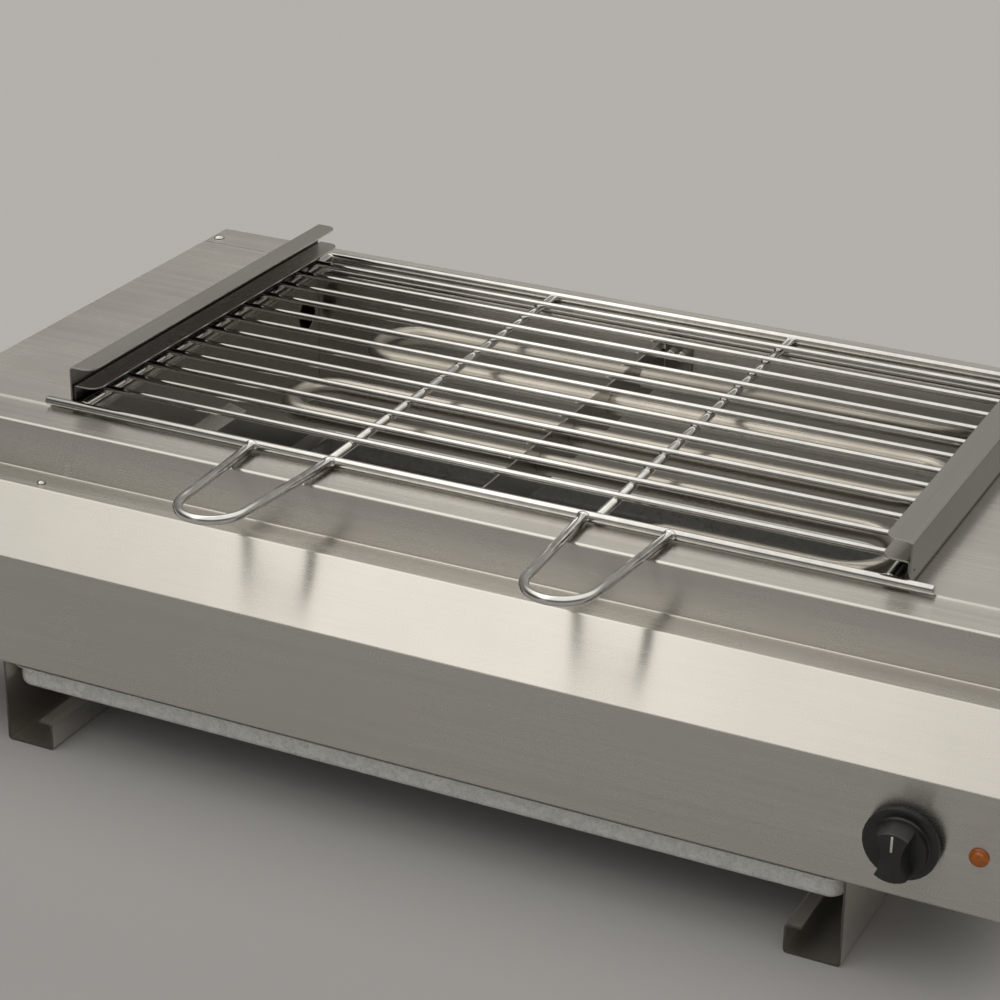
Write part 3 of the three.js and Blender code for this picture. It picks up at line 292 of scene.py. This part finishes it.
steel_front = brushed(
    "brushed_steel_front", ALONG_X, dark=(0.595, 0.575, 0.54), light=(0.67, 0.65, 0.615),
    rough=(0.23, 0.31), aniso=0.95)
# Rails: painted shade on the webs and a painted shadow along their foot
steel_rail = brushed(
    "brushed_steel_rails", ALONG_Y, dark=(0.62, 0.60, 0.567), light=(0.693, 0.672, 0.64),
    rough=(0.22, 0.3), aniso=0.8, shades=(RAIL_WEB_PAINTED_SHADE, RAIL_FOOT_PAINTED_SHADOW))
# Inner rails: a darker copy of the rail steel, painted shade for their place under the outer rails'
# flanges
steel_inner_painted_shade = brushed(
    "brushed_steel_inner_rails", ALONG_Y, dark=(0.55, 0.53, 0.50), light=(0.62, 0.60, 0.57),
    rough=(0.22, 0.32), aniso=0.6, shades=(INNER_WEB_PAINTED_SHADE,))
steel_panel = brushed(
    "brushed_steel_panels", ALONG_Y, dark=(0.60, 0.58, 0.55), light=(0.65, 0.63, 0.60),
    rough=(0.24, 0.31), aniso=0.6)
# Feet, with painted shade on their front edge
steel_foot = brushed(
    "brushed_steel_feet", ALONG_Y, dark=(0.74, 0.71, 0.66), light=(0.84, 0.81, 0.76),
    rough=(0.34, 0.46), aniso=0.3, shades=(FOOT_FRONT_PAINTED_SHADE,))
steel_wall = brushed(
    "polished_well_steel", ALONG_X, dark=(0.45, 0.435, 0.41), light=(0.53, 0.51, 0.48),
    rough=(0.18, 0.28), aniso=0.3)


# Plated wire, fasteners and brass
def plated(name, light, rough):
    material, tree, shader, place = start(name, Metallic=1.0)
    haze = hazed(tree, place, 90.0)
    coloured(tree, shader, place, haze, light, [0.86 * part for part in light])
    roughened(tree, shader, haze, rough)
    fine = put(tree, "TexNoise", {"Vector": place, "Scale": 700.0, "Detail": 3.0})
    bump(tree, shader, fine.outputs[0], strength=0.04, distance=0.0002)
    return material


chrome = plated("bright_plated_wire", light=(0.84, 0.83, 0.81), rough=(0.05, 0.12))
bright_steel = plated("bright_fastener_steel", light=(0.72, 0.71, 0.69), rough=(0.15, 0.28))
brass = plated("turned_brass", light=(0.72, 0.56, 0.27), rough=(0.2, 0.34))


# Heating tube, tinted by its heat
def heated(name):
    material, tree, shader, place = start(name, Metallic=1.0)
    haze = hazed(tree, place, 16.0)
    coloured(tree, shader, place, haze, (0.54, 0.505, 0.455), (0.44, 0.41, 0.36))
    speck = put(tree, "TexNoise", {"Vector": place, "Scale": 900.0, "Detail": 4.0})
    roughened(tree, shader, blend(tree, 0.15, haze, speck.outputs[0]), (0.24, 0.34))
    bump(tree, shader, speck.outputs[0], strength=0.01, distance=0.0001)
    return material


tube_steel = heated("heat_tinted_tube")


# Galvanised sheet, with painted shade on the tray under the tubes
def galvanised(name):
    material, tree, shader, place = start(name, Metallic=0.15)
    large = put(tree, "Group", {"Vector": place, "Scale": 240.0}, node_tree=SPANGLE)
    small = put(tree, "Group", {"Vector": place, "Scale": 900.0}, node_tree=SPANGLE)
    tone = blend(tree, 0.5, large.outputs["Tone"], small.outputs["Tone"])
    coloured(tree, shader, place, tone, (0.70, 0.71, 0.70), (1.0, 1.0, 0.98), (TRAY_PAINTED_SHADE,))
    roughened(tree, shader, blend(tree, 0.5, tone, hazed(tree, place, 9.0)), (0.24, 0.46))
    bump(tree, shader, tone, strength=0.5, distance=0.0006)
    return material


zinc = galvanised("galvanised_spangle")


# Mouldings, ceramic, lens and wire covers
def moulded(name, dark, light, rough, **constants):
    material, tree, shader, place = start(name, **constants)
    haze = hazed(tree, place, 60.0)
    coloured(tree, shader, place, haze, dark, light)
    roughened(tree, shader, haze, rough)
    pebble = put(tree, "TexNoise", {"Vector": place, "Scale": 1600.0, "Detail": 2.0})
    bump(tree, shader, pebble.outputs[0], strength=0.12, distance=0.0001)
    return material


black_plastic = moulded(
    "black_heatproof_moulding", dark=(0.018, 0.018, 0.019), light=(0.03, 0.03, 0.031),
    rough=(0.32, 0.46))
ceramic = moulded(
    "steatite_ceramic", dark=(0.74, 0.71, 0.64), light=(0.82, 0.79, 0.73), rough=(0.4, 0.6))
white_block = moulded(
    "ivory_block", dark=(0.70, 0.68, 0.60), light=(0.78, 0.76, 0.69), rough=(0.4, 0.55))
lens_orange = moulded(
    "orange_lens", dark=(0.62, 0.16, 0.02), light=(0.80, 0.27, 0.04), rough=(0.08, 0.16),
    Transmission_Weight=0.35)
wire_brown = moulded(
    "brown_silicone", dark=(0.14, 0.06, 0.03), light=(0.18, 0.08, 0.04), rough=(0.4, 0.5))
wire_red = moulded(
    "red_silicone", dark=(0.38, 0.04, 0.03), light=(0.46, 0.06, 0.04), rough=(0.4, 0.5))
wire_blue = moulded(
    "blue_silicone", dark=(0.03, 0.09, 0.30), light=(0.05, 0.12, 0.38), rough=(0.4, 0.5))
wire_green = moulded(
    "green_silicone", dark=(0.10, 0.26, 0.04), light=(0.14, 0.34, 0.06), rough=(0.4, 0.5))


# Pieces
def finished(name, bm, body, material, slot, *replaced):
    mesh = bpy.data.meshes.new(name)
    bm.to_mesh(mesh)
    bm.free()
    for face in mesh.polygons:
        face.use_smooth = True
    mesh.materials.append(material)
    piece = bpy.data.objects.new(name, mesh)
    bpy.context.scene.collection.objects.link(piece)
    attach(piece, body)
    if replaced:
        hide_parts(*replaced)
    return piece


def rounded_edges(piece, width):
    edge = piece.modifiers.new("edges", "BEVEL")
    edge.width = width
    edge.segments = 2
    edge.limit_method = "ANGLE"
    edge.angle_limit = SHARP_ANGLE
    edge.harden_normals = False
    even = piece.modifiers.new("even_normals", "WEIGHTED_NORMAL")
    even.keep_sharp = False
    even.weight = 50


def copied(node):
    bm = bmesh.new()
    bm.from_mesh(nodes[node].data)
    bmesh.ops.remove_doubles(bm, verts=bm.verts, dist=SAME_PLACE)
    bmesh.ops.dissolve_limit(
        bm, angle_limit=FLAT_ANGLE, use_dissolve_boundaries=False, verts=bm.verts, edges=bm.edges)
    return bm


def lay_grain(bm, grain):
    layer = bm.loops.layers.uv.new("grain")
    along = Vector(grain)
    for face in bm.faces:
        across = face.normal.cross(along)
        faces_along = across.length < 0.2
        if faces_along:
            across = face.normal.orthogonal()
        across.normalize()
        run = across.cross(face.normal)
        for loop in face.loops:
            loop[layer].uv = (loop.vert.co.dot(across), loop.vert.co.dot(run))


# Free edges of the rails' flanges, a little wider than the solids
def wider_flange(bm, node):
    low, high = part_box(node)
    side = math.copysign(1, low.x)
    bend = max(abs(low.x), abs(high.x)) - FLANGE_BEND
    for vert in bm.verts:
        if side * vert.co.x < bend:
            vert.co.x -= side * FLANGE_GROWTH


# The plate comes down on the strip under it, with a sloped front edge
def seated_plate(bm, node):
    low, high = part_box(node)
    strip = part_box("front_fascia")[1].z
    for vert in bm.verts:
        if vert.co.z < (low.z + high.z) / 2:
            vert.co.z = strip + PLATE_TOUCH
            if vert.co.y < low.y + PLATE_TOUCH:
                vert.co.y -= PLATE_EDGE_SLOPE


# The strip behind the plate is flush with it, past an open seam
def flush_strip(bm, node):
    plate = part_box("top_plate")[1]
    for place in (plate.y + SEAM, plate.y + SEAM + SEAM_SLOPE):
        parts = list(bm.verts) + list(bm.edges) + list(bm.faces)
        bmesh.ops.bisect_plane(bm, geom=parts, plane_co=(0, place, 0), plane_no=(0, 1, 0))
    for vert in bm.verts:
        if vert.co.y > plate.y + SEAM + SEAM_SLOPE / 2 and vert.co.z > plate.z - STRIP_BEND:
            vert.co.z += STRIP_LIFT


# The photograph shows no rivet at the right of the ledge, so its hole is closed
def closed_ledge(bm, node):
    low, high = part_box("right_ledge_rivet")
    middle = (low + high) / 2
    ring = [
        v for v in bm.verts
        if (v.co - middle).to_2d().length < RIVET_HOLE and low.z < v.co.z < high.z]
    wall = [f for f in bm.faces if abs(f.normal.z) < 0.5 and all(v in ring for v in f.verts)]
    bmesh.ops.delete(bm, geom=wall, context="FACES_ONLY")
    half = sum(v.co.z for v in ring) / len(ring)
    for level in ([v for v in ring if v.co.z < half], [v for v in ring if v.co.z > half]):
        centre = Vector((middle.x, middle.y, level[0].co.z))
        bmesh.ops.pointmerge(bm, verts=level, merge_co=centre)
    loose = [e for e in bm.edges if e.is_wire]
    bmesh.ops.delete(bm, geom=loose, context="EDGES")


RESHAPED = {
    "left_rail": wider_flange,
    "right_rail": wider_flange,
    "left_rail_inner": wider_flange,
    "right_rail_inner": wider_flange,
    "top_plate": seated_plate,
    "rear_panel": flush_strip,
    "front_fascia": closed_ledge,
}

# Folded sheets: node, finish, slot, run of the grain, edge, other nodes that the piece stands for
SHEETS = (
    ("front_fascia", steel_front, "brushed_sheet", X, EASY, "right_ledge_rivet"),
    ("rear_panel", steel_front, "brushed_sheet", X, EASY),
    ("top_plate", steel_front, "brushed_sheet", X, EASY),
    ("left_end_panel", steel_panel, "brushed_sheet", Y, EASY),
    ("right_end_panel", steel_panel, "brushed_sheet", Y, EASY),
    ("left_base_sheet", steel_panel, "brushed_sheet", Y, EASY),
    ("right_base_sheet", steel_panel, "brushed_sheet", Y, EASY),
    ("left_foot_channel", steel_foot, "brushed_sheet", Y, CUT),
    ("right_foot_channel", steel_foot, "brushed_sheet", Y, CUT),
    ("left_rail", steel_rail, "brushed_sheet", Y, CUT),
    ("right_rail", steel_rail, "brushed_sheet", Y, CUT),
    ("left_rail_inner", steel_inner_painted_shade, "brushed_sheet", Y, CUT),
    ("right_rail_inner", steel_inner_painted_shade, "brushed_sheet", Y, CUT),
    ("well_left_wall", steel_wall, "polished_sheet", Y, EASY),
    ("well_right_wall", steel_wall, "polished_sheet", Y, EASY),
    ("well_front_wall", steel_wall, "polished_sheet", X, EASY),
    ("well_rear_wall", steel_front, "polished_sheet", X, EASY),
    ("element_support_plate", steel_wall, "polished_sheet", Y, EASY),
    ("element_rest_tab", steel_panel, "brushed_sheet", Y, EASY),
)


def sheet_piece(node, material, slot, grain, edge, *stands_for):
    bm = copied(node)
    if node in RESHAPED:
        RESHAPED[node](bm, node)
    lay_grain(bm, grain)
    piece = finished(node + "_sheet", bm, "body", material, slot, node, *stands_for)
    rounded_edges(piece, edge)


# Round bars with eased ends, put into one mesh
def bar(bm, start_point, end_point, radius, sides=20):
    a = Vector(start_point)
    b = Vector(end_point)
    turn = (b - a).to_track_quat("Z", "Y").to_matrix().to_4x4()
    place = Matrix.Translation((a + b) / 2) @ turn
    made = bmesh.ops.create_cone(
        bm, cap_ends=True, cap_tris=False, segments=sides, radius1=radius, radius2=radius,
        depth=(b - a).length, matrix=place)
    caps = [f for v in made["verts"] for f in v.link_faces if len(f.verts) == sides]
    rims = list({e for f in caps for e in f.edges})
    bmesh.ops.bevel(
        bm, geom=rims, offset=radius * END_ROUND, segments=2, profile=0.5, affect="EDGES",
        material=-1)


# Weld bead with a lumpy skin
def nugget(bm, centre, size, seed):
    made = bmesh.ops.create_uvsphere(
        bm, u_segments=WELD_SEGMENTS, v_segments=WELD_RINGS, radius=1.0,
        matrix=Matrix.Translation(centre) @ Matrix.Diagonal((*size, 1.0)))
    middle = Vector(centre)
    for vert in made["verts"]:
        ray = vert.co - middle
        swell = 1.0 + WELD_SWELL * noise.noise((vert.co + Vector((seed, 0, 0))) * WELD_LUMPS)
        vert.co = middle + ray * swell


# Path of a bent wire as a smooth tube
def bent(bm, points, radius, sides):
    curve = bpy.data.curves.new("path", "CURVE")
    curve.dimensions = "3D"
    curve.bevel_depth = radius
    curve.bevel_resolution = sides
    curve.use_fill_caps = True
    spline = curve.splines.new("POLY")
    spline.points.add(len(points) - 1)
    for point, place in zip(spline.points, points):
        point.co = (*place, 1.0)
    holder = bpy.data.objects.new("path", curve)
    bpy.context.scene.collection.objects.link(holder)
    bpy.context.view_layer.update()
    mesh = bpy.data.meshes.new_from_object(holder)
    bm.from_mesh(mesh)
    bpy.data.objects.remove(holder)
    bpy.data.curves.remove(curve)
    bpy.data.meshes.remove(mesh)
    bmesh.ops.remove_doubles(bm, verts=bm.verts, dist=1e-6)


def arc(x, y, rx, ry, first, last, z, steps):
    points = []
    for i in range(steps + 1):
        angle = math.radians(first + (last - first) * i / steps)
        points.append((x + rx * math.cos(angle), y + ry * math.sin(angle), z))
    return points


# Wire grid: thin rods on two side bars and two cross bars
def wire_grid():
    low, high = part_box("wire_grid")
    middle = (low.x + high.x) / 2
    bar_z = low.z + BAR_RADIUS
    rod_z = high.z - ROD_RADIUS
    bars = [low.x + LEFT_BAR, middle - CROSS_BAR, middle + CROSS_BAR, high.x - RIGHT_BAR]
    bm = bmesh.new()
    for x in bars:
        before = set(bm.verts)
        bar(bm, (x, low.y, bar_z), (x, high.y, bar_z), BAR_RADIUS, sides=28)
        added = [v for v in bm.verts if v not in before]
        bmesh.ops.scale(
            bm, vec=(BAR_SPREAD, 1.0, 1.0), space=Matrix.Translation((-x, 0, 0)), verts=added)
    first = low.y + FIRST_ROD
    pitch = (high.y - LAST_ROD - first) / (ROD_COUNT - 1)
    for i in range(ROD_COUNT):
        y = first + i * pitch
        bar(bm, (low.x, y, rod_z), (high.x, y, rod_z), ROD_RADIUS)
        for x in bars:
            nugget(bm, (x, y, bar_z + BAR_RADIUS * ROD_WELD_HEIGHT), ROD_WELD, i + x)
    for x in bars:
        nugget(bm, (x, low.y - BAR_END_WELD_REACH, bar_z), BAR_END_WELD, x)
        nugget(bm, (x, high.y + BAR_END_WELD_REACH, bar_z), BAR_END_WELD, x + 1)
    finished("wire_grid_rods", bm, "grid", chrome, "plated_steel", "wire_grid")


def end_rod(node, left_reach, right_reach):
    low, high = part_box(node)
    y = (low.y + high.y) / 2
    z = (low.z + high.z) / 2
    bm = bmesh.new()
    bar(bm, (low.x - left_reach, y, z), (high.x + right_reach, y, z), END_ROD_RADIUS, sides=28)
    finished(node + "_bar", bm, "grid", chrome, "plated_steel", node)


def handle(side, root_shift, tip_shift):
    node = f"grid_{side}_handle"
    rod_low, rod_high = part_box("grid_front_rod")
    low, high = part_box(node)
    x = (low.x + high.x) / 2
    z = (rod_low.z + rod_high.z) / 2
    neck = low.y + HANDLE_RADIUS + HANDLE_TIP_SETBACK + HANDLE_TIP_DEPTH
    root = rod_low.y + HANDLE_SINK
    left_root = x + root_shift - HANDLE_ROOT_HALF
    right_root = x + root_shift + HANDLE_ROOT_HALF
    points = [(left_root, root, z)]
    points += arc(x + tip_shift, neck, HANDLE_NECK_HALF, HANDLE_TIP_DEPTH, 180, 360, z, 40)
    points += [(right_root, root, z)]
    bm = bmesh.new()
    bent(bm, points, HANDLE_RADIUS, sides=6)
    for foot, seed in ((left_root, x - 1), (right_root, x + 1)):
        centre = (foot, rod_low.y + HANDLE_WELD_INSET, z + HANDLE_WELD_RISE)
        nugget(bm, centre, HANDLE_WELD, seed)
    finished(node + "_loop", bm, "grid", chrome, "plated_steel", node)


# Heating tube, bent from one length
def tube():
    low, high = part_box("heating_element")
    z = (low.z + high.z) / 2
    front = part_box("well_front_wall")[1].y
    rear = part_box("well_rear_wall")[0].y
    legs = [rear - share * (rear - front) for share in LEG_SHARES]
    lefts = [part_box("well_left_wall")[1].x + inset for inset in LEFT_TURN_INSETS]
    rights = [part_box("well_right_wall")[0].x - inset for inset in RIGHT_TURN_INSETS]

    def turn(apex, i, sense):
        radius = (legs[i] - legs[i + 1]) / 2
        centre = legs[i] - radius
        return arc(apex - sense * radius, centre, radius, radius, 90, 90 - sense * 180, z, 28)

    points = [(high.x, legs[0], z)]
    points += turn(lefts[0], 0, -1)
    points += turn(rights[0], 1, 1)
    points += turn(lefts[1], 2, -1)
    points += turn(rights[1], 3, 1)
    last = rights[1] - (legs[3] - legs[4]) / 2 - RETURN_LEG
    points += arc(last, legs[4] - RETURN_TURN, RETURN_TURN, RETURN_TURN, 90, 180, z, 14)
    points += [(last - RETURN_TURN, low.y, z)]
    bm = bmesh.new()
    bent(bm, points, TUBE_RADIUS, sides=8)
    finished("heating_tube", bm, "body", tube_steel, "heated_tube", "heating_element")


# Drip tray with a rolled foot and an eased rim
def tray():
    low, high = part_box("drip_tray")
    under = high.z - TRAY_SHEET
    middle = Vector(((low.x + high.x) / 2, (low.y + high.y) / 2, (low.z + under) / 2))
    rim = Vector(((high.x - low.x) / 2 + TRAY_REACH, (high.y - low.y) / 2, (under - low.z) / 2))
    wall = rim - Vector((TRAY_RIM, TRAY_RIM, 0))
    bm = bmesh.new()
    bmesh.ops.create_cube(
        bm, size=2.0, matrix=Matrix.Translation(middle) @ Matrix.Diagonal((*wall, 1.0)))
    uprights = [e for e in bm.edges if abs(e.verts[0].co.z - e.verts[1].co.z) > wall.z]
    bmesh.ops.bevel(
        bm, geom=uprights, offset=TRAY_CORNER, segments=8, profile=0.5, affect="EDGES", material=-1)
    lid = [f for f in bm.faces if f.normal.z > 0.9]
    bmesh.ops.delete(bm, geom=lid, context="FACES_ONLY")
    outline = [e for e in bm.edges if max(v.co.z for v in e.verts) < middle.z]
    bmesh.ops.bevel(
        bm, geom=outline, offset=TRAY_ROLL, segments=6, profile=0.5, affect="EDGES", material=-1)
    mouth = [e for e in bm.edges if e.is_boundary]
    grown = bmesh.ops.extrude_edge_only(bm, edges=mouth)["geom"]
    edge = [v for v in grown if isinstance(v, bmesh.types.BMVert)]
    bmesh.ops.scale(
        bm, vec=(rim.x / wall.x, rim.y / wall.y, 1.0), space=Matrix.Translation(-middle), verts=edge)
    bmesh.ops.recalc_face_normals(bm, faces=bm.faces)
    bmesh.ops.solidify(bm, geom=list(bm.faces), thickness=TRAY_SHEET)
    piece = finished("galvanised_drip_tray", bm, "tray", zinc, "galvanised_sheet", "drip_tray")
    rounded_edges(piece, SMALL)


# Screws that hold the base sheets to the returns under them
def screw_head(bm, foot):
    size = (SCREW_RADIUS, SCREW_RADIUS, SCREW_HEIGHT, 1.0)
    place = Matrix.Translation(foot) @ Matrix.Diagonal(size)
    made = bmesh.ops.create_uvsphere(bm, u_segments=24, v_segments=12, radius=1.0, matrix=place)
    upper = [v for v in made["verts"] if v.co.z > foot[2] + SCREW_HEIGHT * 0.05]
    bmesh.ops.delete(bm, geom=upper, context="VERTS")
    bmesh.ops.holes_fill(bm, edges=[e for e in bm.edges if e.is_boundary])


def base_screws():
    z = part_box("front_fascia")[0].z
    bm = bmesh.new()
    for side in ("left", "right"):
        low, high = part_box(side + "_base_sheet")
        for x in (low.x + SCREW_SIDE_INSET, high.x - SCREW_SIDE_INSET):
            for y in (low.y + SCREW_END_INSET, high.y - SCREW_END_INSET):
                screw_head(bm, (x, y, z))
    finished("base_sheet_screws", bm, "body", bright_steel, "plated_steel")


# Pointer let into the finger bar of the knob
def knob_pointer():
    low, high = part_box("control_knob")
    centre = ((low.x + high.x) / 2, low.y + POINTER_SINK, (low.z + high.z) / 2 + POINTER_RISE)
    bm = bmesh.new()
    bmesh.ops.create_cube(
        bm, size=1.0, matrix=Matrix.Translation(centre) @ Matrix.Diagonal((*POINTER_SIZE, 1.0)))
    bmesh.ops.bevel(
        bm, geom=list(bm.edges), offset=POINTER_EDGE, segments=2, profile=0.5, affect="EDGES",
        material=-1)
    finished("knob_pointer", bm, "knob", white_block, "ceramic")


# Small parts of the CAD with eased edges
EASED = {
    "support_cap_nut_left": (chrome, "plated_steel"),
    "support_cap_nut_right": (chrome, "plated_steel"),
    "support_bolt_left": (bright_steel, "plated_steel"),
    "support_bolt_right": (bright_steel, "plated_steel"),
    "left_ledge_rivet": (bright_steel, "plated_steel"),
    "left_rear_rivet": (bright_steel, "plated_steel"),
    "right_rear_rivet": (bright_steel, "plated_steel"),
    "tab_rivet": (bright_steel, "plated_steel"),
    "left_tray_runner": (zinc, "galvanised_sheet"),
    "right_tray_runner": (zinc, "galvanised_sheet"),
    "rear_gland_nut": (brass, "brass"),
    "front_gland_nut": (brass, "brass"),
    "control_knob": (black_plastic, "black_plastic"),
    "heat_regulator": (black_plastic, "black_plastic"),
    "regulator_nut": (bright_steel, "plated_steel"),
    "pilot_lamp_lens": (lens_orange, "lamp_lens"),
    "terminal_block": (white_block, "ceramic"),
    "cable_inlet": (black_plastic, "black_plastic"),
    "cable_inlet_cap": (black_plastic, "black_plastic"),
    "cable_inlet_lock_nut": (black_plastic, "black_plastic"),
    "earth_nut": (brass, "brass"),
}


def eased_piece(node, material, slot):
    body = "knob" if node == "control_knob" else "body"
    bm = copied(node)
    low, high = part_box(node)
    if node.endswith("rear_rivet"):
        around = Matrix.Translation(-(low + high) / 2)
        bmesh.ops.scale(
            bm, vec=(REAR_RIVET_GROWTH, REAR_RIVET_GROWTH, 1.0), space=around, verts=bm.verts)
        bmesh.ops.translate(bm, vec=(0, 0, STRIP_LIFT), verts=bm.verts)
    if node.endswith("tray_runner"):
        ahead = [v for v in bm.verts if v.co.y < low.y + RUNNER_SETBACK]
        bmesh.ops.translate(bm, vec=(0, RUNNER_SETBACK, 0), verts=ahead)
    piece = finished(node + "_eased", bm, body, material, slot, node)
    rounded_edges(piece, SMALL)


# Finishes of the CAD pieces that stay
PLAIN = {
    "rear_ceramic_bush": ceramic,
    "front_ceramic_bush": ceramic,
    "rear_terminal_pin": bright_steel,
    "front_terminal_pin": bright_steel,
    "knob_spindle": bright_steel,
    "pilot_lamp_body": black_plastic,
    "pilot_lamp_clip": bright_steel,
    "earth_stud": brass,
    "wire_supply_live": wire_brown,
    "wire_regulator_to_element": wire_red,
    "wire_neutral": wire_blue,
    "wire_earth": wire_green,
}


# Floor of pale paper, with painted shade that darkens it a little towards the front
FLOOR_SIZE = 9.0


def floor():
    bm = bmesh.new()
    bmesh.ops.create_grid(bm, x_segments=2, y_segments=2, size=FLOOR_SIZE)
    mesh = bpy.data.meshes.new("studio_floor")
    bm.to_mesh(mesh)
    bm.free()
    material, tree, shader, place = start("studio_paper", Roughness=0.9, Specular_IOR_Level=0.1)
    fibre = put(tree, "TexNoise", {"Vector": place, "Scale": 400.0, "Detail": 3.0})
    coloured(
        tree, shader, place, fibre.outputs[0], (0.60, 0.597, 0.60), (0.62, 0.617, 0.62),
        (FLOOR_FRONT_PAINTED_SHADE,))
    mesh.materials.append(material)
    sheet = bpy.data.objects.new("studio_floor", mesh)
    bpy.context.scene.collection.objects.link(sheet)


# Soft dome of studio light: bright overhead and most at the left, mid grey round the sides
OVERHEAD = (0.96, 0.931, 0.871, 1.0)
BEHIND = (0.24, 0.233, 0.220, 1.0)
IN_FRONT = (0.11, 0.107, 0.100, 1.0)
LAMP_SIDE = -0.40
LAMP_SPREAD = 0.12
LAMP_GAIN = 0.58
FRONT_GAIN = 1.7


def dome():
    world = bpy.data.worlds.new("studio_dome")
    bpy.context.scene.world = world
    world.use_nodes = True
    tree = world.node_tree
    back = tree.nodes["Background"]
    look = put(tree, "TexCoord").outputs["Generated"]
    across, depth, height = put(tree, "SeparateXYZ", {0: look}).outputs
    overhead = ramp(tree, height, 0.45, 0.78, curve="SMOOTHSTEP")
    behind = ramp(tree, depth, -0.35, 0.35, curve="SMOOTHSTEP")
    sides = put(tree, "Mix", {"Factor": behind, 6: IN_FRONT, 7: BEHIND}, data_type="RGBA")
    around = multiplied(tree, sides.outputs[2], ramp(tree, across, -0.75, -0.25, 0.75, 1.25))
    colour = put(tree, "Mix", {"Factor": overhead, 6: around, 7: OVERHEAD}, data_type="RGBA")
    away = put(tree, "Math", {0: across, 1: LAMP_SIDE}, operation="SUBTRACT").outputs[0]
    square = put(tree, "Math", {0: away, 1: away}, operation="MULTIPLY")
    fall = put(
        tree, "Math", {0: square.outputs[0], 1: -0.5 / LAMP_SPREAD ** 2}, operation="MULTIPLY")
    glow = put(tree, "Math", {0: fall.outputs[0]}, operation="EXPONENT")
    most = blend(tree, overhead, ramp(tree, behind, 0.0, 1.0, FRONT_GAIN, 0.0), LAMP_GAIN)
    gain = put(tree, "Math", {0: glow.outputs[0], 1: most, 2: 1.0}, operation="MULTIPLY_ADD")
    tree.links.new(colour.outputs[2], back.inputs["Color"])
    tree.links.new(gain.outputs[0], back.inputs["Strength"])


# Camera at the photograph's place
SENSOR = 36.0
FOCAL_LENGTH = 97.26
EYE = (0.7559, -1.64965, 0.9965)
LOOK_RIGHT = Vector((0.898292, 0.439209, 0.012920))
LOOK_DOWN = Vector((0.193446, -0.368903, -0.909115))
LOOK_AHEAD = Vector((-0.394525, 0.819150, -0.416346))


def camera():
    lens = bpy.data.cameras.new("photo_camera")
    lens.sensor_width = SENSOR
    lens.sensor_height = SENSOR
    lens.sensor_fit = "HORIZONTAL"
    lens.lens = FOCAL_LENGTH
    eye = bpy.data.objects.new("photo_camera", lens)
    turn = Matrix((LOOK_RIGHT, -LOOK_DOWN, -LOOK_AHEAD)).transposed().to_4x4()
    eye.matrix_world = Matrix.Translation(EYE) @ turn
    bpy.context.scene.collection.objects.link(eye)
    bpy.context.scene.camera = eye


# Everything, in the order in which it is put together
for row in SHEETS:
    sheet_piece(*row)
wire_grid()
end_rod("grid_front_rod", FRONT_ROD_LEFT_REACH, FRONT_ROD_RIGHT_REACH)
end_rod("grid_back_rod", 0.0, 0.0)
for side, (root_shift, tip_shift) in HANDLE_SHIFTS.items():
    handle(side, root_shift, tip_shift)
tube()
tray()
base_screws()
knob_pointer()
for node, (material, slot) in EASED.items():
    eased_piece(node, material, slot)
for node, material in PLAIN.items():
    for socket in nodes[node].material_slots:
        socket.material = material
floor()
dome()
camera()

bpy.context.scene.view_settings.view_transform = "Standard"
